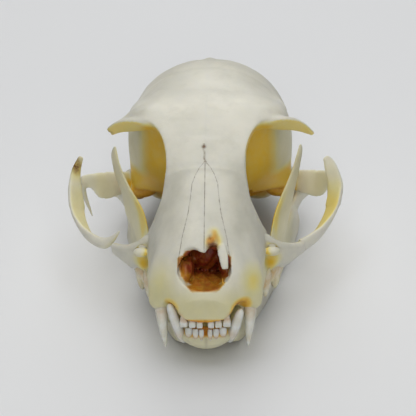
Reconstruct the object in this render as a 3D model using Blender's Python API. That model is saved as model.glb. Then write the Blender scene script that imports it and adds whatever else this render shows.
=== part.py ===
"""A life-size cat skull with its lower jaw closed, resting on the jaw's lower edge.

The skull is modelled whole and then parted along its sutures into bones with thin cuts.
It is drawn in millimetres in the skull's own frame: X to the skull's left, Y back from the
front of the upper incisors, Z up from the line where the upper teeth leave the bone.
The last step turns it nose-up, sets it on the floor and scales it to metres, with the
nose towards -Y. Left and right are the skull's own.
"""

import math

import bmesh
import bpy
import numpy as np
from mathutils import Matrix, Vector

# ---------------------------------------------------------------- driving dimensions, in mm
SKULL_LENGTH = 88.0  # front of the incisors to the back of the condyles
VAULT_TOP = 36.2  # top of the braincase over the tooth line
BRAINCASE_HALF = 21.2  # half the greatest width of the braincase
ARCH_HALF = 31.6  # the middle of the cheek arch, out from the middle of the skull
SNOUT_HALF = 12.9  # half the width of the snout over the roots of the fangs
UPPER_FANG = 11.2  # tip of the upper canine under the tooth line
LOWER_FANG = 1.4  # tip of the lower canine over the tooth line
SUTURE = 0.3  # gap that the thin cuts leave between two bones
SOCKET = 0.3  # gap round a canine's root
NOSE_UP = 7.0  # degrees that the skull leans back when it rests on its jaw
FLOOR_UNDER = 16.45  # the floor under the tooth line, straight below the skull's own origin
MIDDLE = (1.2, 43.9)  # middle of the skull's outline on the floor, along X and Y

MM = 0.001
VOXEL = 0.62  # grain of the blend that joins the rough shapes into one bone
CRANIUM_TRIANGLES = 2500
CHEEKBONE_TRIANGLES = 180
JAW_TRIANGLES = 380

BONE = (0.80, 0.76, 0.62)
ENAMEL = (0.88, 0.86, 0.78)
LEFT, RIGHT = 1, -1

for old in list(bpy.data.objects):
    bpy.data.objects.remove(old, do_unlink=True)


# ---------------------------------------------------------------- rough shapes
def material(name, colour, roughness):
    made = bpy.data.materials.new(name)
    made.use_nodes = True
    shader = made.node_tree.nodes["Principled BSDF"]
    shader.inputs["Base Color"].default_value = (*colour, 1.0)
    shader.inputs["Roughness"].default_value = roughness
    shader.inputs["Metallic"].default_value = 0.0
    return made


def add(name, mesh):
    obj = bpy.data.objects.new(name, mesh)
    bpy.context.scene.collection.objects.link(obj)
    return obj


def mesh_of(bm, name):
    bmesh.ops.recalc_face_normals(bm, faces=bm.faces)
    mesh = bpy.data.meshes.new(name)
    bm.to_mesh(mesh)
    bm.free()
    return mesh


def through(points, per_span=5):
    """A smooth curve (Catmull-Rom) through the rows of a table, every column alike."""
    rows = np.array(points, float)
    ends = np.vstack([2 * rows[0] - rows[1], rows, 2 * rows[-1] - rows[-2]])
    t = np.linspace(0, 1, per_span, endpoint=False)[:, None]
    spans = [
        0.5 * (2 * b + (c - a) * t + (2 * a - 5 * b + 4 * c - d) * t**2 + (3 * b - a - 3 * c + d) * t**3)
        for a, b, c, d in zip(ends, ends[1:], ends[2:], ends[3:])
    ]
    return np.vstack([*spans, rows[-1:]])


def skin(name, rings):
    """Bridges a row of rings and closes each end with a fan."""
    bm = bmesh.new()
    loops = [[bm.verts.new(p) for p in ring] for ring in rings]
    sides = len(loops[0])
    for low, high in zip(loops, loops[1:]):
        for i in range(sides):
            j = (i + 1) % sides
            bm.faces.new((low[i], low[j], high[j], high[i]))
    for loop, ring in ((loops[0], rings[0]), (loops[-1], rings[-1])):
        pole = bm.verts.new(np.mean(ring, axis=0))
        for i in range(sides):
            bm.faces.new((loop[i], loop[(i + 1) % sides], pole))
    return add(name, mesh_of(bm, name))


def egg(name, centre, radii, turn=(0, 0, 0)):
    """An ellipsoid with its half-axes along X, Y and Z, then turned by these degrees."""
    bm = bmesh.new()
    bmesh.ops.create_uvsphere(bm, u_segments=32, v_segments=20, radius=1)
    turned = Matrix.Rotation(math.radians(turn[2]), 4, "Z")
    turned @= Matrix.Rotation(math.radians(turn[1]), 4, "Y") @ Matrix.Rotation(math.radians(turn[0]), 4, "X")
    bm.transform(Matrix.Translation(centre) @ turned @ Matrix.Diagonal((*radii, 1)))
    return add(name, mesh_of(bm, name))


def limb(name, stations, tall=(0, 0, 1), sides=14, per_span=4):
    """A rounded bar along a smooth path. A station is x, y, z, half thickness and half height,
    with the height measured towards `tall`. Both ends are domed."""
    rows = through(stations, per_span)
    centres, thick, high = rows[:, :3], rows[:, 3], rows[:, 4]
    along = np.gradient(centres, axis=0)
    along /= np.linalg.norm(along, axis=1, keepdims=True)
    across = np.cross(along, np.array(tall, float))
    across /= np.linalg.norm(across, axis=1, keepdims=True)
    up = np.cross(across, along)
    angle = np.linspace(0, 2 * math.pi, sides, endpoint=False)[:, None]

    def ring(i, shrink=1.0, out=0.0):
        middle = centres[i] + along[i] * out * min(thick[i], high[i])
        return middle + shrink * (across[i] * thick[i] * np.cos(angle) + up[i] * high[i] * np.sin(angle))

    dome = [math.radians(a) for a in (75, 50, 25)]
    first = [ring(0, math.cos(a), -math.sin(a)) for a in dome]
    last = [ring(-1, math.cos(a), math.sin(a)) for a in reversed(dome)]
    return skin(name, [*first, *(ring(i) for i in range(len(rows))), *last])


def loft(name, stations, sides=40, per_span=4):
    """A body along Y. A station is y, half width, lowest z, highest z, the share by which the
    top is narrower than the base, and the squareness of the section (2 is an ellipse)."""
    angle = np.linspace(0, 2 * math.pi, sides, endpoint=False)
    rings = []
    for y, half, low, top, taper, square in through(stations, per_span):
        wide = np.sign(np.cos(angle)) * np.abs(np.cos(angle)) ** (2 / square)
        tall = np.sign(np.sin(angle)) * np.abs(np.sin(angle)) ** (2 / square)
        x = half * wide * (1 - taper * (tall + 1) / 2)
        z = (low + top) / 2 + (top - low) / 2 * tall
        rings.append(np.stack([x, np.full(sides, y), z], axis=1))
    return skin(name, rings)


def mirrored(obj, name, keep=True):
    mesh = obj.data.copy()
    mesh.transform(Matrix.Diagonal((-1, 1, 1, 1)))
    mesh.flip_normals()
    if not keep:
        bpy.data.objects.remove(obj, do_unlink=True)
    return add(name, mesh)


def on_side(obj, side):
    """A piece drawn for the left, put on this side."""
    return mirrored(obj, obj.name + "_mirror", keep=False) if side == RIGHT else obj


def sided(planes, side):
    """Planes written for the left side, put on this side."""
    return [((side * x, y, z), (side * dx, dy, dz)) for (x, y, z), (dx, dy, dz) in planes]


def both(maker, name, *args, **options):
    one = maker(name, *args, **options)
    return [one, mirrored(one, name + "_mirror")]


# ---------------------------------------------------------------- joining and cutting
def bake(obj):
    """Applies the modifiers."""
    graph = bpy.context.evaluated_depsgraph_get()
    mesh = bpy.data.meshes.new_from_object(obj.evaluated_get(graph))
    obj.modifiers.clear()
    old, obj.data = obj.data, mesh
    bpy.data.meshes.remove(old)
    return obj


def joined(name, pieces):
    """One object that holds the pieces' meshes side by side."""
    bm = bmesh.new()
    for piece in pieces:
        bm.from_mesh(piece.data)
        bpy.data.objects.remove(piece, do_unlink=True)
    mesh = bpy.data.meshes.new(name)
    bm.to_mesh(mesh)
    bm.free()
    return add(name, mesh)


def blended(name, pieces, voxel=VOXEL, passes=5):
    """Melts overlapping pieces into one body and softens the corners where they meet."""
    obj = joined(name, pieces)
    remesh = obj.modifiers.new("melt", "REMESH")
    remesh.mode, remesh.voxel_size = "VOXEL", voxel
    soften = obj.modifiers.new("soften", "SMOOTH")
    soften.factor, soften.iterations = 0.5, passes
    return bake(obj)


def boolean(obj, other, operation, keep=False):
    modifier = obj.modifiers.new(operation, "BOOLEAN")
    modifier.object, modifier.operation, modifier.solver = other, operation, "EXACT"
    bake(obj)
    if not keep:
        bpy.data.objects.remove(other, do_unlink=True)
    return obj


def thinned(obj, triangles):
    """Fewer faces, with the shape kept."""
    faces = sum(len(p.vertices) - 2 for p in obj.data.polygons)
    decimate = obj.modifiers.new("thin", "DECIMATE")
    decimate.ratio, decimate.use_collapse_triangulate = min(1.0, triangles / faces), True
    return bake(obj)


def block(name, planes, grow=0.0):
    """The space that lies behind every plane, moved out by `grow`. A plane is a point and
    its outward direction."""
    bm = bmesh.new()
    bmesh.ops.create_cube(bm, size=300)
    for point, outward in planes:
        normal = Vector(outward).normalized()
        cut = bmesh.ops.bisect_plane(
            bm,
            geom=[*bm.verts, *bm.edges, *bm.faces],
            plane_co=Vector(point) + normal * grow,
            plane_no=normal,
            clear_outer=True,
        )
        edges = [e for e in cut["geom_cut"] if isinstance(e, bmesh.types.BMEdge)]
        bmesh.ops.edgeloop_fill(bm, edges=edges)
    return add(name, mesh_of(bm, name))


def carved_off(whole, name, planes):
    """Takes the bone inside the planes off the whole, and leaves a suture's gap beside it."""
    bone = add(name, whole.data.copy())
    boolean(bone, block(name + "_space", planes), "INTERSECT")
    boolean(whole, block(name + "_gap", planes, SUTURE), "DIFFERENCE")
    return largest(bone)


def largest(obj):
    """Keeps the biggest connected body, and drops chips that a cut leaves loose."""
    bm = bmesh.new()
    bm.from_mesh(obj.data)
    left, best = set(bm.verts), []
    while left:
        seed = left.pop()
        island, edge = [seed], [seed]
        while edge:
            near = edge.pop()
            for link in near.link_edges:
                other = link.other_vert(near)
                if other in left:
                    left.discard(other)
                    island.append(other)
                    edge.append(other)
        if len(island) > len(best):
            best = island
    kept = set(best)
    bmesh.ops.delete(bm, geom=[v for v in bm.verts if v not in kept], context="VERTS")
    bm.to_mesh(obj.data)
    bm.free()
    return obj


# ---------------------------------------------------------------- cranium, whole
def braincase():
    """The round vault, the forehead in front of it and the flat skull base."""
    back = SKULL_LENGTH - 2.5
    vault_low = -2.0
    middle = (VAULT_TOP + vault_low) / 2
    return [
        egg("vault", (0, back - 22.3, middle), (BRAINCASE_HALF, 22.3, (VAULT_TOP - vault_low) / 2)),
        loft("forehead", [
            (26, 11.5, 6.0, 26.6, 0.15, 2.3),
            (31, 13.5, 6.0, 29.6, 0.10, 2.3),
            (37, 16.5, 5.0, 32.4, 0.05, 2.3),
            (43, 17.6, 3.0, 34.4, 0.00, 2.2),
            (50, 17.8, 1.5, 35.7, 0.00, 2.1),
            (58, 19.2, 0.0, VAULT_TOP, 0.00, 2.0),
        ]),
        loft("skull_base", [
            (44, 6, 3, 14, 0.0, 2.5),
            (58, 10, 2.5, 14, 0.0, 2.5),
            (70, 13, 2.2, 16, 0.0, 2.5),
            (84, 12, 3.0, 16, 0.2, 2.3),
        ]),
        *both(limb, "nuchal_crest", [
            (0, 84.6, 21.8, 1.0, 1.4),
            (7, 83.6, 20.4, 1.0, 1.4),
            (13.2, 80.6, 15.4, 1.0, 1.4),
            (17.0, 77.0, 8.5, 1.4, 1.7),
            (18.0, 75.0, 4.5, 2.2, 2.4),
        ]),
        limb("sagittal_crest", [
            (0, 70.0, 34.6, 0.9, 0.7),
            (0, 78.0, 30.6, 1.0, 1.2),
            (0, 84.6, 22.2, 1.3, 1.8),
        ]),
    ]


def face():
    """Snout, bridge between the eyes, palate and the roots of the cheek arches."""
    return [
        loft("snout", [
            (0.3, 5.9, -1.1, 4.9, 0.10, 2.3),
            (1.6, 7.6, -0.9, 7.0, 0.12, 2.3),
            (3.5, 9.4, -0.5, 9.9, 0.15, 2.3),
            (6.5, 11.9, 0.0, 14.2, 0.30, 2.4),
            (10.5, SNOUT_HALF, 0.0, 17.6, 0.42, 2.4),
            (16, SNOUT_HALF, 0.0, 21.3, 0.45, 2.4),
            (21, 13.2, 0.0, 24.3, 0.42, 2.4),
            (27, 14.0, 0.0, 27.6, 0.32, 2.5),
            (32, 14.5, 0.8, 29.8, 0.20, 2.6),
        ]),
        loft("palate", [
            (7, 11.6, 0.2, 6.0, 0.0, 2.6),
            (14, 13.6, 0.2, 7.0, 0.0, 2.6),
            (20, 16.4, 0.2, 7.5, 0.0, 2.6),
            (26, 18.8, 0.2, 7.0, 0.0, 2.6),
            (31, 17.6, 0.2, 6.0, 0.0, 2.4),
            (35, 11.0, 0.6, 6.0, 0.0, 2.2),
        ]),
        loft("pterygoids", [
            (32, 8.0, 0.4, 10.0, 0.0, 3.0),
            (40, 7.2, 0.0, 11.0, 0.0, 3.0),
            (50, 6.6, -1.0, 11.0, 0.0, 3.0),
            (55, 6.4, -0.5, 9.0, 0.0, 3.0),
        ]),
        *both(limb, "hamulus", [
            (6.0, 50.0, 0.5, 0.8, 1.6),
            (6.3, 53.5, -2.0, 0.8, 1.3),
            (6.8, 56.0, -3.4, 0.7, 0.8),
        ]),
        *both(limb, "fang_root", [
            (10.6, 7.0, 1.2, 2.2, 2.3),
            (10.3, 9.0, 6.5, 2.3, 2.3),
            (9.0, 13.0, 12.0, 1.6, 1.6),
        ], tall=(0, 1, 0)),
    ]


BROW_HORN_PATH = [
    (12.5, 40.0, 30.6, 3.0, 2.6),
    (17.5, 41.8, 30.6, 2.8, 1.9),
    (22.0, 44.4, 28.8, 2.1, 1.3),
    (25.6, 47.0, 25.8, 1.2, 0.9),
]
BROKEN_HORN_END = (23.6, 45.4, 27.6, 1.6, 1.1)  # the right horn has lost its tip


def brow_horns():
    """The postorbital processes, horns of the forehead that stand out behind the eyes."""
    broken = [*BROW_HORN_PATH[:3], BROKEN_HORN_END]
    return [limb("brow_horn", BROW_HORN_PATH), on_side(limb("broken_horn", broken), RIGHT)]


# x, y, z, half thickness, half height along the left cheek arch
CHEEKBONE_PATH = [
    (13.0, 20.5, 6.4, 3.4, 4.6),
    (18.3, 21.8, 4.9, 2.3, 3.3),
    (22.3, 24.3, 5.2, 1.7, 2.1),
    (26.0, 28.4, 6.1, 1.4, 1.95),
    (29.5, 34.0, 8.0, 1.3, 2.1),
    (ARCH_HALF - 0.5, 39.5, 9.8, 1.3, 2.6),
    (ARCH_HALF, 45.0, 10.6, 1.3, 3.0),
    (ARCH_HALF - 0.1, 50.0, 10.4, 1.3, 2.7),
    (ARCH_HALF - 0.6, 55.0, 9.2, 1.3, 2.0),
]
TEMPORAL_ARM_PATH = [
    (30.6, 50.5, 11.6, 1.2, 1.9),
    (30.6, 55.0, 9.6, 1.4, 2.4),
    (29.0, 59.3, 7.2, 2.4, 2.5),
    (24.5, 61.6, 6.3, 3.3, 2.7),
    (17.0, 63.0, 7.2, 4.4, 3.6),
]
# a thin spike that hangs from the broken end of the right temple's arm
SPLINTER_PATH = [(-30.6, 57.6, 6.6, 1.0, 1.1), (-30.4, 57.4, 2.6, 0.9, 0.9), (-29.4, 57.0, -1.6, 0.6, 0.6)]
CHEEK_LEAN = (-0.3, 0, 1)  # the top edge of the arch leans in over the eye
# the cuts at both ends of the cheekbone, a point and the way from the skull along the arch
FRONT_SUTURE = ((23.4, 25.3, 5.4), (0.72, 0.66, 0.2))
REAR_SUTURE = ((31.2, 53.0, 10.6), (0.0, -0.75, -0.66))


def arch_ends():
    """Both ends of the cheek arch that belong to the skull: the maxilla's and the temple's."""
    root = CHEEKBONE_PATH[:5]
    return [
        *both(limb, "arch_root", root, tall=CHEEK_LEAN),
        *both(limb, "temporal_arm", TEMPORAL_ARM_PATH, tall=CHEEK_LEAN),
    ]


def ear_and_neck():
    """Auditory bullae, occipital condyles and the processes beside them."""
    return [
        *both(egg, "bulla", (11.6, 69.5, 0.8), (6.4, 9.8, 6.6), (0, 0, 14)),
        *both(egg, "condyle", (6.8, 84.2, 5.0), (3.2, 3.8, 4.6), (0, 0, -24)),
        *both(egg, "ear_rim", (17.0, 68.5, 5.0), (3.4, 4.2, 4.0)),
        *both(limb, "paroccipital", [
            (13.0, 80.0, 4.0, 2.2, 2.2),
            (13.2, 80.0, -1.4, 1.5, 1.7),
        ], tall=(0, 1, 0)),
        *both(limb, "jaw_stop", [
            (19.5, 64.8, 5.0, 3.4, 1.4),
            (19.8, 64.6, 0.9, 2.4, 1.0),
        ], tall=(0, 1, 0)),
    ]


def eye_hollows():
    """The orbits and the open space behind them, cut before the arches go on."""
    return [
        *both(egg, "orbit", (23.0, 33.0, 17.6), (14.6, 13.2, 14.0), (0, 0, -6)),
        *both(egg, "under_orbit", (21.0, 42.0, 9.0), (12.0, 13.0, 11.0)),
    ]


def small_hollows():
    """Nose, ears, palate, throat and the small holes."""
    return [
        *both(limb, "cheek_canal", [(14.4, 16.5, 6.8, 1.3, 1.9), (16.3, 26.5, 8.4, 1.6, 2.2)]),
        *both(limb, "ear_hole", [(24.0, 68.5, 4.6, 2.1, 2.6), (15.5, 69.5, 4.6, 2.1, 2.6)]),
        *both(egg, "lower_fang_pit", (8.2, 1.9, 0.0), (2.0, 3.0, 3.0)),
        loft("nose", [
            (-3, 5.8, 5.6, 16.0, 0.15, 2.3),
            (3, 6.2, 5.2, 15.0, 0.15, 2.3),
            (10, 5.8, 4.8, 15.0, 0.25, 2.3),
            (20, 4.6, 5.0, 18.0, 0.30, 2.3),
            (26, 2.0, 8.0, 16.0, 0.30, 2.3),
        ]),
        egg("nasal_break", (1.7, 5.2, 15.0), (1.7, 3.0, 3.0)),
        egg("palate_vault", (0, 19, -3.4), (9.0, 18, 5.0)),
        loft("throat", [
            (60, 4.2, -9.0, 2.0, 0.2, 2.4),
            (52, 5.0, -9.0, 4.6, 0.2, 2.4),
            (42, 5.0, -9.0, 6.0, 0.2, 2.4),
            (35, 4.8, -9.0, 5.0, 0.2, 2.4),
        ]),
        loft("foramen_magnum", [
            (70, 5.0, 5.6, 14.0, 0.1, 2.1),
            (78, 8.0, 4.6, 16.0, 0.1, 2.1),
            (84, 6.3, 3.6, 13.4, 0.1, 2.1),
            (95, 7.2, 1.0, 14.5, 0.1, 2.1),
        ]),
    ]


MIDLINE = ((SUTURE / 2, 0, 0), (-1, 0, 0))


def arch_spaces(side):
    """The cheekbone's room in the arch, from the maxilla's root on and from the temple's arm on."""
    (front, inwards), (rear, outwards) = FRONT_SUTURE, REAR_SUTURE
    after_front = [(front, tuple(-d for d in inwards)), ((20, 0, 0), (-1, 0, 0)), ((0, 46, 0), (0, 1, 0))]
    before_rear = [(rear, tuple(-d for d in outwards)), ((25, 0, 0), (-1, 0, 0)), ((0, 44, 0), (0, -1, 0))]
    level = ((0, 0, 20), (0, 0, 1))
    return [block("arch_space", sided([*planes, level], side)) for planes in (after_front, before_rear)]


def whole_cranium():
    """The cranium in one piece, without its teeth and cheekbones."""
    core = blended("core", braincase() + face())
    boolean(core, blended("eye_space", eye_hollows(), passes=1), "DIFFERENCE")
    splinter = limb("splinter", SPLINTER_PATH, tall=(0, 1, 0))
    rough = blended("rough", [core, *brow_horns(), *arch_ends(), *ear_and_neck(), splinter])
    boolean(rough, blended("hollows", small_hollows(), passes=1), "DIFFERENCE")
    whole = thinned(largest(blended("cranium", [rough], passes=2)), CRANIUM_TRIANGLES)
    for side in (LEFT, RIGHT):
        for space in arch_spaces(side):
            boolean(whole, space, "DIFFERENCE")
    return largest(whole)


# ---------------------------------------------------------------- parting along the sutures
def side_name(kind, side):
    return kind + {LEFT: "_left", RIGHT: "_right"}.get(side, "")


# The cranium's bones in the order they come off. Each is a list of planes, for the left side
# where the bone is paired, and it is all the bone left by then that lies behind them.
SINGLE, PAIRED = (0,), (LEFT, RIGHT)
BASE_CUTS = [
    ("bulla", PAIRED, [((5.0, 0, 0), (-1, 0, 0)), ((18.6, 0, 0), (1, 0, 0)), ((0, 0, 2.4), (0, 0, 1)),
                       ((0, 59.5, 0), (0, -1, 0)), ((0, 78.2, 0), (0, 1, 0))]),
    ("occipital", SINGLE, [((0, 76, 5), (0, -1, 0.42))]),
    ("temporal", PAIRED, [((10.8, 0, 0), (-1, 0, 0)), ((17, 60, 15.5), (0.35, -0.1, 1)),
                          ((17, 54, 10), (-0.35, -1, 0.25))]),
    ("sphenoid", SINGLE, [((0, 36.5, 5), (0, -1, 0.3)), ((0, 0, 8.7), (0, 0, 1))]),
]
HALF_CUTS = [
    ("parietal", [((0, 50.5, 30), (0, -1, -0.15))]),
    ("frontal", [((0, 25.9, 27), (0, -1, -0.4)), ((0, 0, 8.2), (0, 0, -1))]),
    ("nasal", [((4.9, 15, 0), (1, 0.37, 0)), ((6.5, 6, 0), (1, 0.17, 0)), ((0, 0, 9.5), (0, 0, -1))]),
    ("premaxilla", [((0, 3.9, 0), (0, 1, -0.36))]),
]


def parted(whole):
    """The cranium's bones by name. What is left of each half at the end is its maxilla."""
    bones = {}
    for kind, sides, planes in BASE_CUTS:
        for side in sides:
            name = side_name(kind, side)
            bones[name] = carved_off(whole, name, sided(planes, side or LEFT))
    for side in (LEFT, RIGHT):
        half = add(side_name("maxilla", side), whole.data.copy())
        boolean(half, block("half_space", sided([MIDLINE], side)), "INTERSECT")
        for kind, planes in HALF_CUTS:
            name = side_name(kind, side)
            bones[name] = carved_off(half, name, sided(planes, side))
        bones[half.name] = largest(half)
    bpy.data.objects.remove(whole, do_unlink=True)
    return bones


# ---------------------------------------------------------------- cheekbones
HORN_PATH = [
    (31.0, 41.5, 10.8, 1.3, 3.2),
    (30.8, 44.2, 15.0, 1.2, 2.3),
    (29.7, 46.9, 18.9, 0.9, 1.1),
]
# The right cheekbone has come loose: its front end has slid up behind the maxilla's root, and
# its middle has swung out. It is written for the left and mirrored.
LOOSE_PATH = [
    (21.3, 28.6, 8.9, 0.7, 0.8),
    (24.0, 29.2, 7.6, 1.0, 1.4),
    (27.0, 30.5, 5.9, 1.3, 1.9),
    (30.0, 34.0, 5.0, 1.3, 2.4),
    (32.4, 38.5, 6.2, 1.3, 2.6),
    (34.0, 43.5, 8.3, 1.3, 2.7),
    (34.2, 48.5, 9.2, 1.3, 2.5),
    (33.0, 53.5, 8.9, 1.3, 1.9),
]
LOOSE_HORN_PATH = [
    (33.6, 41.5, 9.5, 1.3, 3.0),
    (33.4, 44.6, 14.2, 1.2, 2.2),
    (32.0, 47.4, 18.9, 0.9, 1.1),
]


def cheekbone(name, arch, horn):
    """A zygomatic bone of the left: a bar along the arch, and the horn that stands up behind the eye."""
    pieces = [limb("bar", arch, tall=CHEEK_LEAN), limb("horn", horn, tall=(0, 1, 0))]
    bone = thinned(blended(name, pieces, voxel=0.5, passes=3), CHEEKBONE_TRIANGLES)
    way_out = REAR_SUTURE[1]
    beyond = Vector(REAR_SUTURE[0]) + Vector(way_out).normalized() * SUTURE
    return boolean(bone, block("arm_side", [(beyond, way_out)]), "DIFFERENCE")


def cheekbones():
    left = cheekbone("zygomatic_left", CHEEKBONE_PATH[2:], HORN_PATH)
    front, way_in = FRONT_SUTURE
    before = Vector(front) + Vector(way_in).normalized() * SUTURE
    boolean(left, block("root_side", [(before, way_in)]), "DIFFERENCE")
    right = on_side(cheekbone("loose", LOOSE_PATH, LOOSE_HORN_PATH), RIGHT)
    return {"zygomatic_left": left, "zygomatic_right": right}


# ---------------------------------------------------------------- lower jaw
def half_jaw():
    """The left half of the lower jaw, from its symphysis to the condyle."""
    return [
        loft("chin", [
            (2.2, 4.4, -8.2, -6.0, 0.0, 2.1),
            (3.4, 6.4, -9.5, -5.5, 0.0, 2.1),
            (5.0, 7.5, -10.3, -5.0, 0.0, 2.1),
            (8.5, 7.9, -11.6, -5.0, 0.0, 2.1),
            (12.5, 6.4, -13.0, -7.6, 0.0, 2.1),
        ]),
        limb("jaw_body", [
            (5.2, 7.0, -8.4, 2.0, 3.4),
            (6.4, 11.0, -9.2, 2.1, 4.4),
            (7.9, 16, -9.5, 2.1, 5.0),
            (10.2, 23, -9.4, 2.2, 5.2),
            (12.7, 30, -8.8, 2.2, 5.4),
            (15.2, 37, -7.6, 2.0, 5.6),
            (17.9, 44, -5.6, 1.6, 5.6),
            (20.4, 51, -3.9, 1.4, 4.8),
            (21.8, 57, -2.8, 1.5, 3.6),
        ]),
        limb("coronoid", [
            (16.2, 39.0, -5.0, 1.6, 7.0),
            (18.2, 41.6, 0.6, 1.5, 6.8),
            (19.8, 44.4, 6.0, 1.3, 6.0),
            (21.2, 47.4, 12.0, 1.1, 4.6),
            (22.2, 49.8, 16.8, 1.0, 2.9),
            (22.7, 51.0, 19.4, 0.9, 1.6),
        ], tall=(0, 1, 0)),
        limb("jaw_neck", [(21.6, 54, -2.0, 1.6, 3.2), (23.6, 60.0, 0.2, 2.0, 2.2)]),
        limb("jaw_condyle", [
            (19.6, 60.2, 0.8, 1.6, 1.5),
            (23.0, 60.4, 0.7, 1.9, 1.8),
            (26.8, 60.0, 0.5, 1.7, 1.6),
        ]),
        limb("jaw_angle", [
            (20.6, 53.0, -5.8, 1.5, 2.6),
            (21.2, 59.0, -7.3, 1.5, 2.0),
            (21.4, 64.2, -7.9, 1.3, 1.2),
        ]),
    ]


def lower_jaw():
    """The left half of the jaw, thinned and cut off square at the symphysis."""
    half = thinned(blended("half_jaw", half_jaw(), voxel=0.55, passes=4), JAW_TRIANGLES)
    boolean(half, block("symphysis_side", [MIDLINE]), "INTERSECT")
    return half


# ---------------------------------------------------------------- teeth
def tooth(name, stations, turn=0, sides=8):
    """A tooth that stands along Z. A station is x, y, z, half width across the jaw and half
    length along it; `turn` swings the length outwards from Y, in degrees."""
    angle = np.linspace(0, 2 * math.pi, sides, endpoint=False)
    swing = math.radians(turn)
    rings = []
    for x, y, z, across, length in stations:
        u, v = across * np.cos(angle), length * np.sin(angle)
        ring_x = x + u * math.cos(swing) + v * math.sin(swing)
        ring_y = y - u * math.sin(swing) + v * math.cos(swing)
        rings.append(np.stack([ring_x, ring_y, np.full(sides, z)], axis=1))
    return skin(name, rings)


def cusp(name, x, y, root, tip, across, length, turn=0, lean=0.0):
    """One cusp of a cheek tooth, from inside the bone to its tip, that leans back by `lean`."""
    middle = (root + tip) / 2
    return tooth(name, [
        (x, y, root, across * 0.8, length * 0.9),
        (x, y, root + (tip - root) * 0.25, across, length),
        (x, y + lean / 2, middle + (tip - middle) * 0.2, across * 0.75, length * 0.62),
        (x, y + lean, tip, across * 0.15, length * 0.12),
    ], turn, sides=5)


def incisors(upper):
    """Three chisels a side, the outer one the largest."""
    rows = [(1.35, 0.7, 0.62, 0.8), (3.15, 0.9, 0.7, 0.85), (5.1, 1.5, 0.85, 0.95)]
    neck, edge, root = (-0.1, -2.7, 2.0)
    if not upper:
        rows = [(1.0, 2.3, 0.48, 0.75), (2.35, 2.6, 0.6, 0.8), (4.0, 3.2, 0.8, 0.9)]
        neck, edge, root = (-6.2, -3.6, -8.0)
    made = []
    for x, y, wide, deep in rows:
        made.append(tooth("incisor", [
            (x, y + 0.5, root, wide * 0.7, deep * 0.7),
            (x, y + 0.2, neck, wide * 0.85, deep),
            (x, y, neck + (edge - neck) * 0.6, wide, deep * 0.7),
            (x, y - 0.05, edge, wide * 0.7, deep * 0.25),
        ], sides=6))
    return made


def upper_cheek_teeth():
    """P2, P3, the carnassial P4 and the small M1 of the left side."""
    return [
        cusp("p2", 12.3, 12.6, 1.6, -1.5, 0.7, 0.9),
        cusp("p3", 13.7, 17.4, 2.0, -4.6, 1.2, 1.9, 14, 0.3),
        cusp("p3_heel", 14.4, 19.9, 2.0, -2.6, 1.1, 1.2, 14, 0.2),
        cusp("p4_front", 15.3, 22.3, 2.0, -3.2, 1.2, 1.4, 17),
        cusp("p4", 16.2, 25.0, 2.0, -6.4, 1.4, 2.2, 17, 0.6),
        cusp("p4_blade", 17.4, 28.7, 2.0, -4.6, 1.2, 2.0, 17, 0.6),
        cusp("p4_inner", 13.6, 23.6, 2.0, -1.6, 1.2, 1.2, 17),
        cusp("m1", 15.9, 31.4, 2.2, -1.4, 1.8, 0.9),
    ]


def lower_cheek_teeth():
    """P3, P4 and the carnassial M1 of the left side."""
    return [
        cusp("p3", 8.6, 15.6, -7.0, -1.6, 1.0, 2.0, 18, 0.3),
        cusp("p3_heel", 9.3, 18.0, -7.0, -3.4, 0.9, 1.1, 18),
        cusp("p4", 10.3, 21.6, -7.0, -0.9, 1.1, 2.2, 19, 0.4),
        cusp("p4_heel", 11.3, 24.2, -7.0, -3.0, 1.0, 1.2, 19),
        cusp("m1_front", 12.2, 27.4, -7.0, -1.2, 1.2, 2.0, 19, -0.3),
        cusp("m1_rear", 13.2, 30.4, -7.0, -0.7, 1.2, 2.1, 19, 0.5),
    ]


UPPER_FANG_SHAPE = [
    (10.0, 7.8, 4.0, 1.0, 1.3),
    (10.2, 7.2, 1.6, 1.35, 1.8),
    (10.3, 6.6, -0.6, 1.5, 2.0),
    (10.2, 6.1, -3.0, 1.3, 1.75),
    (10.0, 5.8, -6.0, 0.95, 1.3),
    (9.8, 5.9, -8.8, 0.55, 0.75),
    (9.6, 6.3, -UPPER_FANG, 0.12, 0.12),
]
LOWER_FANG_SHAPE = [
    (5.4, 6.6, -9.6, 0.85, 1.1),
    (5.8, 5.3, -7.6, 1.1, 1.45),
    (6.15, 4.3, -5.6, 1.2, 1.55),
    (6.8, 3.5, -3.4, 1.05, 1.35),
    (7.6, 3.1, -1.2, 0.75, 0.95),
    (8.2, 3.0, 0.4, 0.4, 0.5),
    (8.4, 3.1, LOWER_FANG, 0.12, 0.12),
]


def fang(name, shape, gap=0.0):
    """A canine with a short root. With a gap it is the socket's shape, which reaches further."""
    rows = np.array(shape)
    rows[:, 3:] += gap
    if gap:
        rows[0, 2] += math.copysign(gap, rows[0, 2] - rows[-1, 2])
    return tooth(name, rows)


def joined_teeth(bone, teeth, side):
    """Makes one body of a bone and its teeth, which are drawn for the left side."""
    for one in teeth:
        boolean(bone, on_side(one, side), "UNION")


# ---------------------------------------------------------------- the skull
def socketed(bone, fang_shape, side):
    boolean(bone, on_side(fang("socket", fang_shape, SOCKET), side), "DIFFERENCE")
    return largest(bone)


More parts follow.
